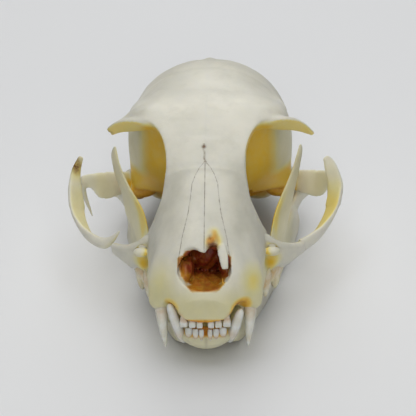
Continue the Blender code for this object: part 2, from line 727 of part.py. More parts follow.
def cat_skull():
    """Every bone and tooth by name, in the skull's own frame."""
    bones = parted(whole_cranium())
    bones.update(cheekbones())
    jaw = lower_jaw()
    for side in (LEFT, RIGHT):
        half = on_side(add("half", jaw.data.copy()), side)
        bones[side_name("mandible", side)] = half
        maxilla, premaxilla = bones[side_name("maxilla", side)], bones[side_name("premaxilla", side)]
        joined_teeth(premaxilla, incisors(upper=True), side)
        joined_teeth(maxilla, upper_cheek_teeth(), side)
        joined_teeth(half, incisors(upper=False) + lower_cheek_teeth(), side)
        socketed(maxilla, UPPER_FANG_SHAPE, side)
        socketed(half, LOWER_FANG_SHAPE, side)
        for kind, shape in (("upper_canine", UPPER_FANG_SHAPE), ("lower_canine", LOWER_FANG_SHAPE)):
            bones[side_name(kind, side)] = on_side(fang(kind, shape), side)
    bpy.data.objects.remove(jaw, do_unlink=True)
    return bones


REST = (
    Matrix.Scale(MM, 4)
    @ Matrix.Translation((MIDDLE[0], -MIDDLE[1], FLOOR_UNDER))
    @ Matrix.Rotation(math.radians(-NOSE_UP), 4, "X")
)


def set_down(bones):
    """Cuts the jaw's flats, sets the skull on the floor in metres and gives the finishes."""
    bone_look, enamel_look = material("bone", BONE, 0.5), material("enamel", ENAMEL, 0.25)
    floor_point, upwards = REST.inverted() @ Vector((0, 0, 0)), REST.to_3x3().inverted() @ Vector((0, 0, 1))
    under_floor = block("under_floor", [(floor_point, upwards)])
    for name, obj in bones.items():
        obj.name = name
        if name.startswith("mandible"):
            boolean(obj, under_floor, "DIFFERENCE", keep=True)
        obj.data.transform(REST)
        obj.data.materials.clear()
        obj.data.materials.append(enamel_look if "canine" in name else bone_look)
        obj.data.shade_smooth()
        obj.data.set_sharp_from_angle(angle=math.radians(42))
    bpy.data.objects.remove(under_floor, do_unlink=True)


set_down(cat_skull())
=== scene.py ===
import math
from itertools import product

import bpy
import numpy as np
from mathutils import Matrix, Vector


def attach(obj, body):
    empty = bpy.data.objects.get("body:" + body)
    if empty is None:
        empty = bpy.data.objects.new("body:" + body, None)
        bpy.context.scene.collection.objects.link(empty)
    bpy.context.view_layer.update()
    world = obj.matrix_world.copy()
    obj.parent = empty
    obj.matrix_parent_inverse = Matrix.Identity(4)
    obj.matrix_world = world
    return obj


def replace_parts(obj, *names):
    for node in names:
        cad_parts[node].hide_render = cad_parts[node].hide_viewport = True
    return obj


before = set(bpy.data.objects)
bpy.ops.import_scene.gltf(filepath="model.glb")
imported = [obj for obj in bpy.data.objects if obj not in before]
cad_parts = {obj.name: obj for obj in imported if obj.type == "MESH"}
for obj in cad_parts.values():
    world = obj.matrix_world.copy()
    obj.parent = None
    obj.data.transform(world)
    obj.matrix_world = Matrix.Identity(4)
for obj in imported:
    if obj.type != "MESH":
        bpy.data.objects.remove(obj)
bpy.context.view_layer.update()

# ============================================================ cranium
# The rounded braincase, the brow horns, the face and the roots of the cheek arches: thin hard bone,
# modelled as one lump of clay on a grid of distances and then parted along its wavy sutures.
# Lengths are millimetres in the skull's own frame: X to its left, Y back from the incisors, Z up
# from the tooth line. `placed` turns the skull nose-up and sets it on the floor, in metres.
NOSE_UP = math.radians(7.0)
ORIGIN_ON_FLOOR = (1.2, -43.9, 16.45)
MM = 0.001
SIDES = (("left", 1), ("right", -1))
BRAINCASE_HALF, BRAINCASE_DEEP, BRAINCASE_BACK = 20.6, 22.3, 85.5
VAULT_TOP = 36.2
SNOUT_HALF = 16.6
CRANIUM_STEP = 0.32
BRAIN_WALL = 1.3


def placed(points):
    """Skull millimetres to room metres: a turn about X by the lean, a shift, and the scale."""
    x, y, z = np.asarray(points, float).T
    c, s = math.cos(NOSE_UP), math.sin(NOSE_UP)
    turned = np.stack([x, y * c + z * s, z * c - y * s], axis=1)
    return (turned + ORIGIN_ON_FLOOR) * MM


def through(stations, per_span=4):
    """Catmull-Rom curve through the rows of a table, every column alike."""
    rows = np.array(stations, float)
    ends = np.vstack([2 * rows[0] - rows[1], rows, 2 * rows[-1] - rows[-2]])
    t = np.linspace(0, 1, per_span, endpoint=False)[:, None]
    spans = [
        0.5 * (2 * b + (c - a) * t + (2 * a - 5 * b + 4 * c - d) * t**2 + (3 * b - a - 3 * c + d) * t**3)
        for a, b, c, d in zip(ends, ends[1:], ends[2:], ends[3:])
    ]
    return np.vstack([*spans, rows[-1:]])


class Clay:
    """A lump on a grid. `d` is each grid point's distance to the surface in mm, negative inside."""

    FAR = 9.0

    def __init__(self, low, high, step):
        self.step = step
        self.axes = [np.arange(a, b + step, step, dtype=np.float32) for a, b in zip(low, high)]
        self.d = np.full([len(a) for a in self.axes], self.FAR, np.float32)

    def near(self, low, high):
        """The part of the grid inside a box: its slices and its three coordinates."""
        at = tuple(slice(*np.searchsorted(a, ends)) for a, ends in zip(self.axes, zip(low, high)))
        X, Y, Z = np.meshgrid(*(a[s] for a, s in zip(self.axes, at)), indexing="ij", sparse=True)
        return at, X, Y, Z

    def put(self, shape, soft, sign=1):
        """Smooth minimum: the nearer surface, rounded where both are within `soft` of each other."""
        at, b = shape(self, soft + 1.0)
        a = sign * self.d[at]
        mix = np.clip(0.5 + 0.5 * (a - b) / soft, 0, 1)
        self.d[at] = sign * (a + (b - a) * mix - soft * mix * (1 - mix))

    def carve(self, shape, soft):
        """The same with the lump turned inside out, which takes the shape's room away from it."""
        self.put(shape, soft, -1)

    def cut(self, low, high, room):
        """Takes away what stands in a room, inside a box, and leaves a sharp edge."""
        at, X, Y, Z = self.near(low, high)
        self.d[at] = np.maximum(self.d[at], -room(X, Y, Z))

    def mirror(self):
        """The left half, which starts at x = 0, joined to its mirror image."""
        self.axes[0] = np.concatenate([-self.axes[0][:0:-1], self.axes[0]])
        self.d = np.concatenate([self.d[:0:-1], self.d])


def mirrored(shape):
    """The same shape on the skull's right: the grid is read with X the other way round."""
    def field(clay, margin):
        twin = object.__new__(Clay)
        twin.axes = [-clay.axes[0][::-1], clay.axes[1], clay.axes[2]]
        at, d = shape(twin, margin)
        count = len(clay.axes[0])
        return (slice(count - at[0].stop, count - at[0].start), at[1], at[2]), d[::-1]
    return field


def egg(centre, radii, turn=0.0, square=2.0):
    """Ellipsoid, turned about Z, whose sections across Y are superellipses of this exponent.
    Distance = (k - 1) / |grad k| for the gauge k of the point."""
    def field(clay, margin):
        reach = (max(radii[0], radii[1]), max(radii[0], radii[1]), radii[2])
        low = [c - r - margin for c, r in zip(centre, reach)]
        high = [c + r + margin for c, r in zip(centre, reach)]
        at, X, Y, Z = clay.near(low, high)
        c, s = math.cos(math.radians(turn)), math.sin(math.radians(turn))
        u = np.abs((X - centre[0]) * c + (Y - centre[1]) * s) / radii[0]
        v = ((Y - centre[1]) * c - (X - centre[0]) * s) / radii[1]
        w = np.abs((Z - centre[2]) / radii[2])
        section = np.maximum((u**square + w**square) ** (1 / square), 1e-4)
        gauge = np.maximum(np.sqrt(section**2 + v * v), 1e-4)
        steep = [(q / section) ** (square - 1) * section / r for q, r in ((u, radii[0]), (w, radii[2]))]
        slope = np.sqrt(steep[0] ** 2 + steep[1] ** 2 + (v / radii[1]) ** 2) / gauge
        return at, (gauge - 1) / np.maximum(slope, 1e-4)
    return field


def swept(centres, thick, high, tall, cup):
    """A bar along a smooth path with an elliptic section of these half sizes, whose height points
    towards `tall`; `cup` bends the section like a gutter."""
    along = np.gradient(centres, axis=0)
    along /= np.linalg.norm(along, axis=1, keepdims=True)
    across = np.cross(along, tall)
    across /= np.linalg.norm(across, axis=1, keepdims=True)

    def field(clay, margin):
        wide = max(thick.max(), high.max()) + margin
        at, X, Y, Z = clay.near(centres.min(0) - wide, centres.max(0) + wide)
        best = np.full((X.size, Y.size, Z.size), Clay.FAR, np.float32)
        flat = [X.ravel(), Y.ravel(), Z.ravel()]
        for i in range(len(centres) - 1):
            a, b = centres[i], centres[i + 1]
            wide = max(thick[i : i + 2].max(), high[i : i + 2].max()) + margin
            low, top = np.minimum(a, b) - wide, np.maximum(a, b) + wide
            sub = tuple(slice(*np.searchsorted(f, (p, q))) for f, p, q in zip(flat, low, top))
            px, py, pz = X[sub[0]] - a[0], Y[:, sub[1]] - a[1], Z[:, :, sub[2]] - a[2]
            run = b - a
            length = np.linalg.norm(run)
            t = np.clip((px * run[0] + py * run[1] + pz * run[2]) / length**2, 0, 1)
            px, py, pz = px - t * run[0], py - t * run[1], pz - t * run[2]
            side = across[i] + across[i + 1]
            side /= np.linalg.norm(side)
            up = np.cross(side, run / length)
            ra = thick[i] + t * (thick[i + 1] - thick[i])
            rb = high[i] + t * (high[i + 1] - high[i])
            w = (px * up[0] + py * up[1] + pz * up[2]) / rb
            u = (px * side[0] + py * side[1] + pz * side[2]) / ra + cup * w * w
            small = np.minimum(ra, rb)
            e = (px * run[0] + py * run[1] + pz * run[2]) / (length * small)
            gauge = np.sqrt(u * u + w * w + e * e)
            slope = np.sqrt((u / ra) ** 2 + (w / rb) ** 2 + (e / small) ** 2)
            best[sub] = np.minimum(best[sub], gauge * (gauge - 1) / np.maximum(slope, 1e-4))
        return at, best
    return field


def limb(stations, tall=(0, 0, 1)):
    """A bar through stations of x, y, z, half thickness and half height."""
    rows = through(stations)
    return swept(rows[:, :3], rows[:, 3], rows[:, 4], np.broadcast_to(tall, (len(rows), 3)), 0.0)


def blade(stations, cup=0.0):
    """A bar between two edges: the upper edge's x, y, z, the lower's x, y, z and half thickness."""
    rows = through(stations)
    upper, lower, thick = rows[:, :3], rows[:, 3:6], rows[:, 6]
    high = np.linalg.norm(upper - lower, axis=1) / 2
    return swept((upper + lower) / 2, thick, high, (upper - lower) / high[:, None], cup)


def window(rim, way):
    """The room inside a closed outline that is carried along a straight way. The distance to the
    outline is worked out on a sheet square to the way and read back for each point of the grid."""
    n = np.array(way, float) / np.linalg.norm(way)
    a = np.cross(n, (0, 0, 1))
    a /= np.linalg.norm(a)
    b = np.cross(a, n)
    loop = through([rim[-1], *rim, rim[0]], 6)[6:] @ np.stack([a, b], axis=1)
    fine, edge = 0.2, 3.0
    low, top = loop.min(0) - edge, loop.max(0) + edge
    P, Q = np.meshgrid(*(np.arange(p, q, fine) for p, q in zip(low, top)), indexing="ij")
    nearest, inside = np.full(P.shape, 99.0), np.zeros(P.shape, bool)
    for (p0, q0), (p1, q1) in zip(loop, loop[1:]):
        dp, dq = p1 - p0, q1 - q0
        t = np.clip(((P - p0) * dp + (Q - q0) * dq) / (dp * dp + dq * dq + 1e-9), 0, 1)
        nearest = np.minimum(nearest, np.hypot(P - p0 - t * dp, Q - q0 - t * dq))
        inside ^= ((q0 > Q) != (q1 > Q)) & (P < p0 + (Q - q0) * dp / (dq if dq else 1e-9))
    sheet = np.where(inside, -nearest, nearest)

    def field(clay, margin):
        at, X, Y, Z = clay.near((5, 5, -9), (40, 62, 40))
        f = [(X * w[0] + Y * w[1] + Z * w[2] - l) / fine for w, l in ((a, low[0]), (b, low[1]))]
        f = [np.clip(v, 0, m - 1.001) for v, m in zip(f, sheet.shape)]
        i, j = (np.floor(v).astype(np.int32) for v in f)
        s, t = f[0] - i, f[1] - j
        upper = sheet[i + 1, j] * (1 - t) + sheet[i + 1, j + 1] * t
        lower = sheet[i, j] * (1 - t) + sheet[i, j + 1] * t
        return at, (lower * (1 - s) + upper * s).astype(np.float32)
    return field


def loft(stations):
    """A body along Y with superellipse sections. Distance = (k - 1) / |grad k| for the gauge k. A
    station is y, half width, lowest z, highest z, how much narrower the top is, and squareness."""
    y, half, low, high, taper, square = through(stations, 5).T

    def field(clay, margin):
        reach = half.max() + margin
        box = (-reach, y[0] - margin, low.min() - margin), (reach, y[-1] + margin, high.max() + margin)
        at, X, Y, Z = clay.near(*box)
        h, b, p, k, n = (np.interp(Y, y, c).astype(np.float32) for c in (half, low, high, taper, square))
        middle, tall = (b + p) / 2, (p - b) / 2
        v = (Z - middle) / tall
        wide = h * (1 - k * (np.clip(v, -1, 1) + 1) / 2)
        u, v = np.abs(X) / wide, np.abs(v)
        gauge = np.maximum((u**n + v**n) ** (1 / n), 1e-3)
        slope = np.sqrt(((u / gauge) ** (n - 1) / wide) ** 2 + ((v / gauge) ** (n - 1) / tall) ** 2)
        return at, np.maximum((gauge - 1) / np.maximum(slope, 1e-4), np.maximum(y[0] - Y, Y - y[-1]))
    return field


def plane(point, outward):
    """Signed distance from a plane, positive on the outward side."""
    n = np.array(outward, float) / np.linalg.norm(outward)
    return lambda X, Y, Z: (X - point[0]) * n[0] + (Y - point[1]) * n[1] + (Z - point[2]) * n[2]


def wave(X, Y, Z):
    """The sutures' wander: three crossed sine waves of a few millimetres and less."""
    return (
        0.28 * np.sin(1.5 * X + 0.9 * Y - 1.1 * Z)
        + 0.16 * np.sin(3.4 * X - 2.6 * Y + 2.9 * Z + 1.0)
        + 0.07 * np.sin(7.5 * X + 6.1 * Y - 5.7 * Z + 2.0)
    )


def ease(values):
    """0 below 0, 1 above 1 and a smooth S between."""
    t = np.clip(values, 0, 1)
    return t * t * (3 - 2 * t)


def region_of(planes, wander=1.0, side=1):
    """The room behind every plane, which are written for the left side."""
    tests = [plane(point, outward) for point, outward in planes]
    return lambda X, Y, Z: np.max(
        np.broadcast_arrays(*(test(side * X, Y, Z) for test in tests)), axis=0
    ) + wander * wave(X, Y, Z)


# the left half first: muzzle, forehead, tooth-bearing edge, and the narrow bone behind the palate
cranium = Clay((0, -2.2, -9), (34.5, 90, 38.5), CRANIUM_STEP)
cranium.put(loft([
    (0.3, 5.9, -1.1, 4.9, 0.10, 2.3),
    (1.6, 7.6, -0.9, 7.4, 0.12, 2.3),
    (3.5, 10, -0.5, 10.6, 0.16, 2.3),
    (6.5, 13, 0, 14.3, 0.32, 2.4),
    (10.5, 15, 0, 17.6, 0.44, 2.5),
    (16, SNOUT_HALF, 0, 21.3, 0.47, 2.5),
    (21, SNOUT_HALF, 0, 24.3, 0.44, 2.6),
    (27, 16.2, 0, 27.4, 0.32, 2.7),
    (32, 15.5, 0.8, 29.6, 0.14, 2.8),
]), 2)
cranium.put(loft([
    (25, 9.5, 20, 26, 0, 2.3),
    (29, 11.5, 22, 28.2, 0, 2.4),
    (33, 13.2, 24.5, 30.4, 0, 2.4),
    (36.5, 14.8, 26, 32.1, 0, 2.3),
    (40, 16.4, 27, 33.4, 0, 2.2),
    (44, 17.4, 26.5, 34.6, 0, 2.2),
    (49, 17.4, 24.5, 35.4, 0, 2.1),
    (54, 16.8, 20, 36, 0, 2.1),
    (60, 15.2, 16, VAULT_TOP, 0, 2),
]), 2)
cranium.put(limb([
    (14, 44, 31, 1.6, 1.6), (16.4, 48, 29.2, 2.2, 2.2), (17, 53, 27.8, 2.4, 2.4), (16.2, 58, 27, 2.2, 2.2),
]), 3)
cranium.put(loft([
    (7, 12.4, -0.8, 6, 0, 2.6),
    (11, 13.4, -1, 6, 0, 2.6),
    (15, 13.9, -0.8, 6, 0, 2.6),
    (19, 14.5, -0.6, 5, 0, 2.6),
    (23, 17.2, -0.6, 4.6, 0, 2.6),
    (26, 18.6, -0.4, 4.6, 0, 2.6),
    (31, 17.6, 0.2, 4.6, 0, 2.4),
    (35, 11, 0.6, 5, 0, 2.2),
]), 1.5)
cranium.put(loft([
    (32, 8, 0.4, 10, 0, 3),
    (40, 7.2, 0, 11, 0, 3),
    (50, 6.6, -1, 11, 0, 3),
    (55, 6.4, -0.5, 9, 0, 3),
]), 1.5)
FANG_ROOT = [(10.6, 7, 1.2, 2.2, 2.3), (10.3, 9, 6.5, 2.3, 2.3), (9, 13, 12, 1.6, 1.6)]
cranium.put(limb(FANG_ROOT, tall=(0, 1, 0)), 2.5)

# the cheek arch's root, a bright lip over a plate, and the orbit cut clean through along its rim
ARCH_ROOT = [
    (12.4, 22.3, 10.6, 12.2, 24, 1, 1.3),
    (14.6, 22.3, 8.6, 14.2, 24.4, 0, 1.3),
    (16.9, 22.6, 7.3, 16.3, 25, -0.6, 1.3),
    (19.2, 24, 6.1, 18.5, 25.8, -0.6, 1.3),
    (21.7, 26.8, 4.9, 20.8, 28.2, 0.6, 1.3),
    (23.8, 29.6, 4.3, 22.6, 31, 1.1, 1.3),
]
CHEEK_EDGES = [
    *ARCH_ROOT[-2:],
    (25.9, 32.2, 4.1, 24.3, 33.8, 1.2, 1.25),
    (28.2, 35.4, 4.3, 26.1, 37, 1.5, 1.15),
    (30.1, 38.4, 5.2, 27.5, 40, 2.4, 1),
    (31.7, 41, 6.6, 28.7, 42.6, 3.6, 0.9),
    (32.7, 43.6, 8.4, 29.5, 45, 5, 0.85),
    (33, 46.2, 10.2, 30.2, 47.4, 6.4, 0.85),
    (33, 49, 10.8, 31, 50, 6.8, 0.85),
    (32.4, 52.5, 10.4, 31.2, 53.2, 7.4, 0.8),
    (31.8, 56, 9.4, 31, 56.5, 7.4, 0.6),
]
FRONT_SUTURE = ((23.8, 27.2, 5), (0.72, 0.66, 0.2))
REAR_SUTURE = ((31.2, 53.4, 10), (0, -0.95, -0.31))
ARM_END = 31.0
cranium.put(blade(ARCH_ROOT, cup=0.2), 1.2)
cranium.put(limb([
    (11.6, 23.4, 12, 0.9, 0.9), (12.9, 22.8, 9.6, 0.95, 0.95), (14.9, 22.4, 8, 0.95, 0.9),
    (17.1, 22.8, 6.9, 0.95, 0.85), (19.4, 24.2, 5.7, 0.95, 0.8), (21.9, 27, 4.5, 0.95, 0.75),
    (24, 29.8, 3.9, 0.95, 0.75),
]), 0.5)
ORBIT_RIM = [
    (14, 39.5, 32), (11.3, 36.5, 30.4), (9.8, 33.5, 27.1), (9.5, 30.8, 23.8), (10, 28.3, 20.4),
    (10.6, 26.7, 17.6), (11.8, 25.4, 14.8), (13.4, 24, 11.2), (15.1, 23.1, 9.1), (17.3, 23.3, 7.7),
    (19.8, 24.8, 6.2), (23, 28.5, 4.9), (27, 35, 5), (33, 44, 10), (38, 48, 20),
    (33, 48, 29), (25.8, 46.6, 27.5), (21, 43.6, 31.3), (17.3, 41.3, 32.7),
]
ORBIT_LINE = (0.05, 0.895, -0.443)
cranium.carve(window(ORBIT_RIM, ORBIT_LINE), 0.25)
cranium.carve(egg((23, 34.5, 17.6), (15.6, 14.5, 13.6)), 0.6)
cranium.carve(egg((21, 42, 9), (12, 13, 11)), 1)

# the braincase: a dome, and a lower part whose side wall stands upright and ends in a clear edge
cranium.put(egg(
    (0, BRAINCASE_BACK - BRAINCASE_DEEP, 17), (BRAINCASE_HALF, BRAINCASE_DEEP, 19.2), square=2.12,
), 3)
cranium.put(loft([
    (30, 6.6, 3, 24, 0, 2.4),
    (36, 7.4, 2.5, 27, 0, 2.4),
    (42, 9.2, 3.5, 30, 0, 2.4),
    (47, 12.8, 6, 31, 0, 2.8),
    (52, 17.2, 4.6, 29, 0, 4),
    (57, 20.2, 2.4, 25.5, 0, 5),
    (62, 20.6, 2, 24.5, 0, 5),
    (68, 20, 4, 24, 0, 4),
    (75, 17.4, 5, 24, 0, 2.6),
    (80, 13, 6, 22, 0, 2.2),
]), 1.5)
# the forehead filled out behind the brow horn, and the wall's lower side cut back to a clear edge
cranium.put(egg((18, 48.6, 27.4), (1.7, 2.4, 2)), 1.2)
cranium.put(limb([(16.6, 44.8, 31, 1.1, 1), (17.9, 46.2, 29.8, 1.3, 1.2), (17.6, 49, 28.8, 1.4, 1.3)]), 1.5)
cranium.cut((7, 44, -2), (30, 63, 12), region_of([
    ((0, 0, 13.6), (0.44, 0, 1)), ((8, 0, 0), (-1, 0, 0)), ((0, 62, 0), (0, 1, 0)),
], 0))
cranium.put(loft([
    (44, 6, 2, 14, 0, 2.5),
    (52, 9, 2.4, 14, 0, 2.5),
    (58, 11, 2.4, 14, 0, 2.5),
    (70, 13, 2.2, 16, 0, 2.5),
    (84, 12, 3, 16, 0.2, 2.3),
]), 1.5)
cranium.put(limb([
    (9.5, 52.5, 8.4, 1, 0.7), (13.5, 55.5, 6.6, 1.3, 0.9), (16.2, 57.5, 4.6, 1.8, 1.8),
    (18.9, 59, 3.6, 2, 1.9), (18.8, 61, 1.2, 1.4, 1),
]), 1.2)

# the brow horns: crescent blades, hollow in front, with a sharp ridge that carries on the rim
BROW_HORN_EDGES = [
    (12.6, 39.6, 32, 11.6, 43, 29.8, 1.6),
    (17, 41.3, 32, 16.6, 44, 28.2, 1.25),
    (20.1, 43.2, 30.8, 20.3, 45, 27.3, 1.05),
    (23.2, 45.2, 28.5, 22.9, 46.4, 26, 0.85),
    (25.8, 47.1, 25.4, 25.4, 47.5, 24.3, 0.6),
]
cranium.put(blade(BROW_HORN_EDGES, cup=-0.6), 1)
cranium.put(limb([
    (14.8, 45, 31, 1.2, 1), (16.4, 48.4, 29.5, 1.3, 1.1), (16.9, 52.5, 28.2, 1.6, 1.4),
    (16.7, 57, 27, 1.6, 1.6),
]), 2)

# the bars of the temples, crests, ear capsules and the joint with the neck
TEMPORAL_BAR = [
    (19, 67, 7.6, 18.6, 64.6, 4.2, 1.2),
    (21, 62, 8, 20.4, 60.2, 4, 1.1),
    (23.2, 59.2, 9, 22.4, 57.4, 3.6, 1),
    (25.4, 57.5, 9.8, 24.7, 56, 3.6, 1),
    (27.2, 56.4, 10.3, 26.6, 55.3, 3.3, 0.95),
    (28.9, 55.2, 10.8, 28.5, 54.5, 5.6, 0.85),
    (30.4, 54.2, 10.9, 30.2, 53.6, 7.2, 0.75),
    (32.4, 53.2, 10.9, 32.4, 53, 7.6, 0.7),
]
NUCHAL_CREST = [
    (0, 84.6, 21.8, 1, 1.4),
    (7, 83.6, 20.4, 1, 1.4),
    (13.2, 80.6, 15.4, 1, 1.4),
    (17, 77, 8.5, 1.4, 1.7),
    (18, 75, 4.5, 2.2, 2.4),
]
cranium.put(limb(NUCHAL_CREST), 1.5)
cranium.put(limb([(0, 70, 34.6, 0.7, 0.7), (0, 78, 30.6, 0.8, 1.2), (0, 84.6, 22.2, 1, 1.6)]), 1.5)
cranium.put(limb([(6, 50, 0.5, 0.6, 1.6), (6.3, 53.5, -2, 0.6, 1.3), (6.8, 56, -3.4, 0.6, 0.7)]), 1)
cranium.put(blade(TEMPORAL_BAR), 0.9)
cranium.put(egg((11.6, 71, 1.8), (6.4, 8.8, 5.4), 14), 1.2)
cranium.put(egg((6.8, 84.2, 5), (3.2, 3.8, 4.6), -24), 1.2)
cranium.put(egg((17, 68.5, 5), (3.4, 4.2, 4)), 1.5)
cranium.put(limb([(13, 80, 4, 2.2, 2.2), (13.2, 80, -1.4, 1.5, 1.7)], tall=(0, 1, 0)), 1.5)
cranium.put(limb([(19.5, 66.4, 5, 3.4, 1.4), (19.8, 66.4, 0.9, 2.4, 1)], tall=(0, 1, 0)), 1.2)

# the hollow of the brain: the lump's own surface, moved in by the wall
at, X, Y, Z = cranium.near((0, 38, 3.5), (30, 84, 40))
hollow = np.maximum(cranium.d[at] + BRAIN_WALL, np.maximum(39 - Y, np.maximum(4.6 - Z, Y - 82.5)))
cranium.d[at] = np.maximum(cranium.d[at], -np.maximum(hollow, X - 20.5))

# nose, throat, ears, the neck's opening and the small canals
cranium.carve(loft([
    (-3, 5.6, 6.7, 13.7, -0.1, 2.1),
    (3, 5.7, 6.4, 13.7, -0.1, 2.1),
    (10, 5.6, 4.8, 14.4, 0, 2.3),
    (20, 5.4, 4.4, 18.6, 0.30, 2.3),
    (27, 4.2, 5, 20, 0.30, 2.3),
    (33, 3, 6, 19, 0.30, 2.3),
]), 0.4)
cranium.put(egg((5.7, 5.4, 6.3), (1.9, 3.4, 2.1)), 0.8)  # bone in the nose's low corners
cranium.carve(egg((0, 19, -3.4), (9, 18, 5)), 1)
cranium.carve(loft([
    (35, 4.8, -9, 5, 0.2, 2.4),
    (42, 5, -9, 6, 0.2, 2.4),
    (52, 5, -9, 4.6, 0.2, 2.4),
    (60, 4.2, -9, 2, 0.2, 2.4),
]), 0.8)
cranium.carve(loft([
    (76, 6, 5.6, 14, 0.1, 2.1),
    (80, 7.2, 4.6, 15, 0.1, 2.1),
    (84, 6.3, 3.6, 13.4, 0.1, 2.1),
    (95, 7.2, 1, 14.5, 0.1, 2.1),
]), 0.6)
cranium.carve(limb([(15.2, 18.5, 6, 1.3, 1.5), (15.5, 23, 6.2, 1.3, 1.5)]), 0.4)
cranium.put(egg((15.6, 19.4, 7), (1.8, 1.4, 1.05)), 0.3)  # the knob over the hole under the orbit
cranium.carve(limb([(24, 68.5, 4.6, 2.1, 2.6), (15.5, 69.5, 4.6, 2.1, 2.6)]), 0.8)
cranium.carve(egg((8.2, 1.9, 0), (2, 3, 3)), 0.8)  # the gap for the lower fang
# the bone around the incisors' roots, and five canals a side
cranium.put(limb([(-1, 2.3, -0.9, 0.45, 1.1), (3, 2.4, -0.9, 0.45, 1.1), (5.3, 2.8, -0.9, 0.45, 1)]), 0.3)
for hole in (
    [(9.5, 45.5, 9.5, 0.9, 1.1), (5.5, 49, 10.5, 0.9, 1.1)],
    [(11, 48.5, 7.2, 1.1, 1.3), (7.5, 54, 8.5, 1.1, 1.3)],
    [(12.8, 52.5, 5.2, 0.8, 0.9), (10.5, 57, 6.5, 0.8, 0.9)],
    [(12, 27, 10.5, 0.7, 0.8), (6, 29.5, 10, 0.7, 0.8)],
    [(13.4, 23.4, 15.8, 0.7, 0.9), (9, 20, 12.5, 0.6, 0.7)],
):
    cranium.carve(limb(hole), 0.6)

# where the cheekbones join on: in front both roots end, behind only the left arm meets its bone
front, way = FRONT_SUTURE
cranium.cut((20, 20, -5), (36, 46, 20.5), region_of([
    (front, [-w for w in way]), ((20, 0, 0), (-1, 0, 0)),
], 0))
cranium.mirror()
cranium.cut((28.6, 44, -5), (36, 62, 20.5), lambda X, Y, Z: ARM_END - X)

# what differs between the sides: the broken horn, the splinter, the chipped nasal bones
cranium.put(mirrored(limb([
    (13, 45.5, 31.6, 1.6, 1.4), (17.5, 45.6, 30.8, 1.3, 1.1), (20.5, 46, 29, 1, 0.9),
    (23.6, 47, 26.6, 0.8, 0.7),
])), 1.5)
cranium.carve(mirrored(egg((26.7, 48, 25.5), (3.7, 3.4, 3.4))), 0.3)
SPLINTER = [(-32.2, 53.4, 9, 0.7, 1), (-32.4, 53.8, 5.6, 0.6, 0.8), (-30.6, 53.4, -0.6, 0.25, 0.25)]
cranium.put(limb(SPLINTER, tall=(0, 1, 0)), 1)
cranium.carve(egg((2, 6.1, 13.9), (1.6, 1.9, 1.5)), 0.2)
cranium.carve(egg((-3, 5.8, 13.9), (2.1, 1.8, 1.3)), 0.3)
cranium.carve(limb([
    (4.9, 8.8, 16, 0.18, 0.6), (5.75, 5.6, 14.3, 0.25, 0.9), (6.1, 3.4, 12.6, 0.3, 1),
]), 0.2)
cranium.put(limb([
    (3.9, 7.4, 15, 1.2, 0.4), (4.4, 5.2, 13.8, 1.2, 0.4), (4.6, 3.9, 12.7, 1.1, 0.4),
    (4.8, 3, 11.6, 0.9, 0.35),
], tall=(0, -0.7, 0.7)), 0.2)

# inside the nose: dried membranes over the scrolls, in lumps, and one pale flake at the left
for lump in (
    egg((0, 22.5, 10.5), (7, 12, 8)),
    egg((-4.2, 9.4, 8.6), (1.6, 5, 2.6)),
    egg((-1.6, 8, 5.2), (2.8, 5, 1.4)),
    egg((1.8, 7.4, 5.2), (2.4, 4.6, 1.2)),
    egg((4.6, 11, 9.4), (1.5, 4.4, 3)),
):
    cranium.put(lump, 0.9)
at, X, Y, Z = cranium.near((-6.5, 3.5, 3), (6.5, 16, 15))
lumpy = ease((Y - 4) / 2) * ease((14.5 - Z) / 2) * (cranium.d[at] < 2)
cranium.d[at] += 0.7 * wave(1.5 * X, 1.2 * Y, 1.4 * Z) * lumpy
cranium.put(limb([
    (4.5, 2.6, 6.6, 0.35, 0.35), (4.25, 2.5, 8, 0.3, 0.3), (4.1, 2.6, 9.2, 0.2, 0.2),
], tall=(0, 1, 0)), 0.3)


def netted(d, low, step):
    """Surface nets. One vertex in each cell that d = 0 crosses, at the mean of the crossings on the
    cell's edges, and one quad for each grid edge that changes sign, wound to face outwards."""
    inside = d < 0
    count = inside.view(np.uint8)
    corners = count[:-1] + count[1:]
    corners = corners[:, :-1] + corners[:, 1:]
    corners = corners[:, :, :-1] + corners[:, :, 1:]
    mixed = (corners > 0) & (corners < 8)
    number = np.full(mixed.shape, -1, np.int32)
    total = int(mixed.sum())
    number[mixed] = np.arange(total, dtype=np.int32)
    place, hits, quads = np.zeros((total, 3)), np.zeros(total), []
    for a in range(3):
        b, c = (a + 1) % 3, (a + 2) % 3
        here, there = [slice(1, -1)] * 3, [slice(1, -1)] * 3
        here[a], there[a] = slice(0, -1), slice(1, None)
        crossed = np.argwhere(inside[tuple(here)] != inside[tuple(there)])
        crossed[:, b] += 1
        crossed[:, c] += 1
        start = tuple(crossed.T)
        ahead = crossed.copy()
        ahead[:, a] += 1
        first, last = d[start], d[tuple(ahead.T)]
        where = crossed.astype(float)
        where[:, a] += first / (first - last)
        ring = []
        for shift_b, shift_c in ((-1, -1), (0, -1), (0, 0), (-1, 0)):
            cell = crossed.copy()
            cell[:, b] += shift_b
            cell[:, c] += shift_c
            ids = number[tuple(cell.T)]
            ring.append(ids)
            hits += np.bincount(ids, minlength=total)
            for k in range(3):
                place[:, k] += np.bincount(ids, weights=where[:, k], minlength=total)
        ring = np.stack(ring, axis=1)
        outwards = first < 0
        quads.append(np.where(outwards[:, None], ring, ring[:, ::-1]))
    return low + step * place / hits[:, None], np.vstack(quads)


def corners_of(f):
    """The eight corners of a grid cell, each with its trilinear share in a point at the fractions f."""
    for corner in product((0, 1), repeat=3):
        x, y, z = (f[:, axis] if far else 1 - f[:, axis] for axis, far in enumerate(corner))
        yield corner, x * y * z


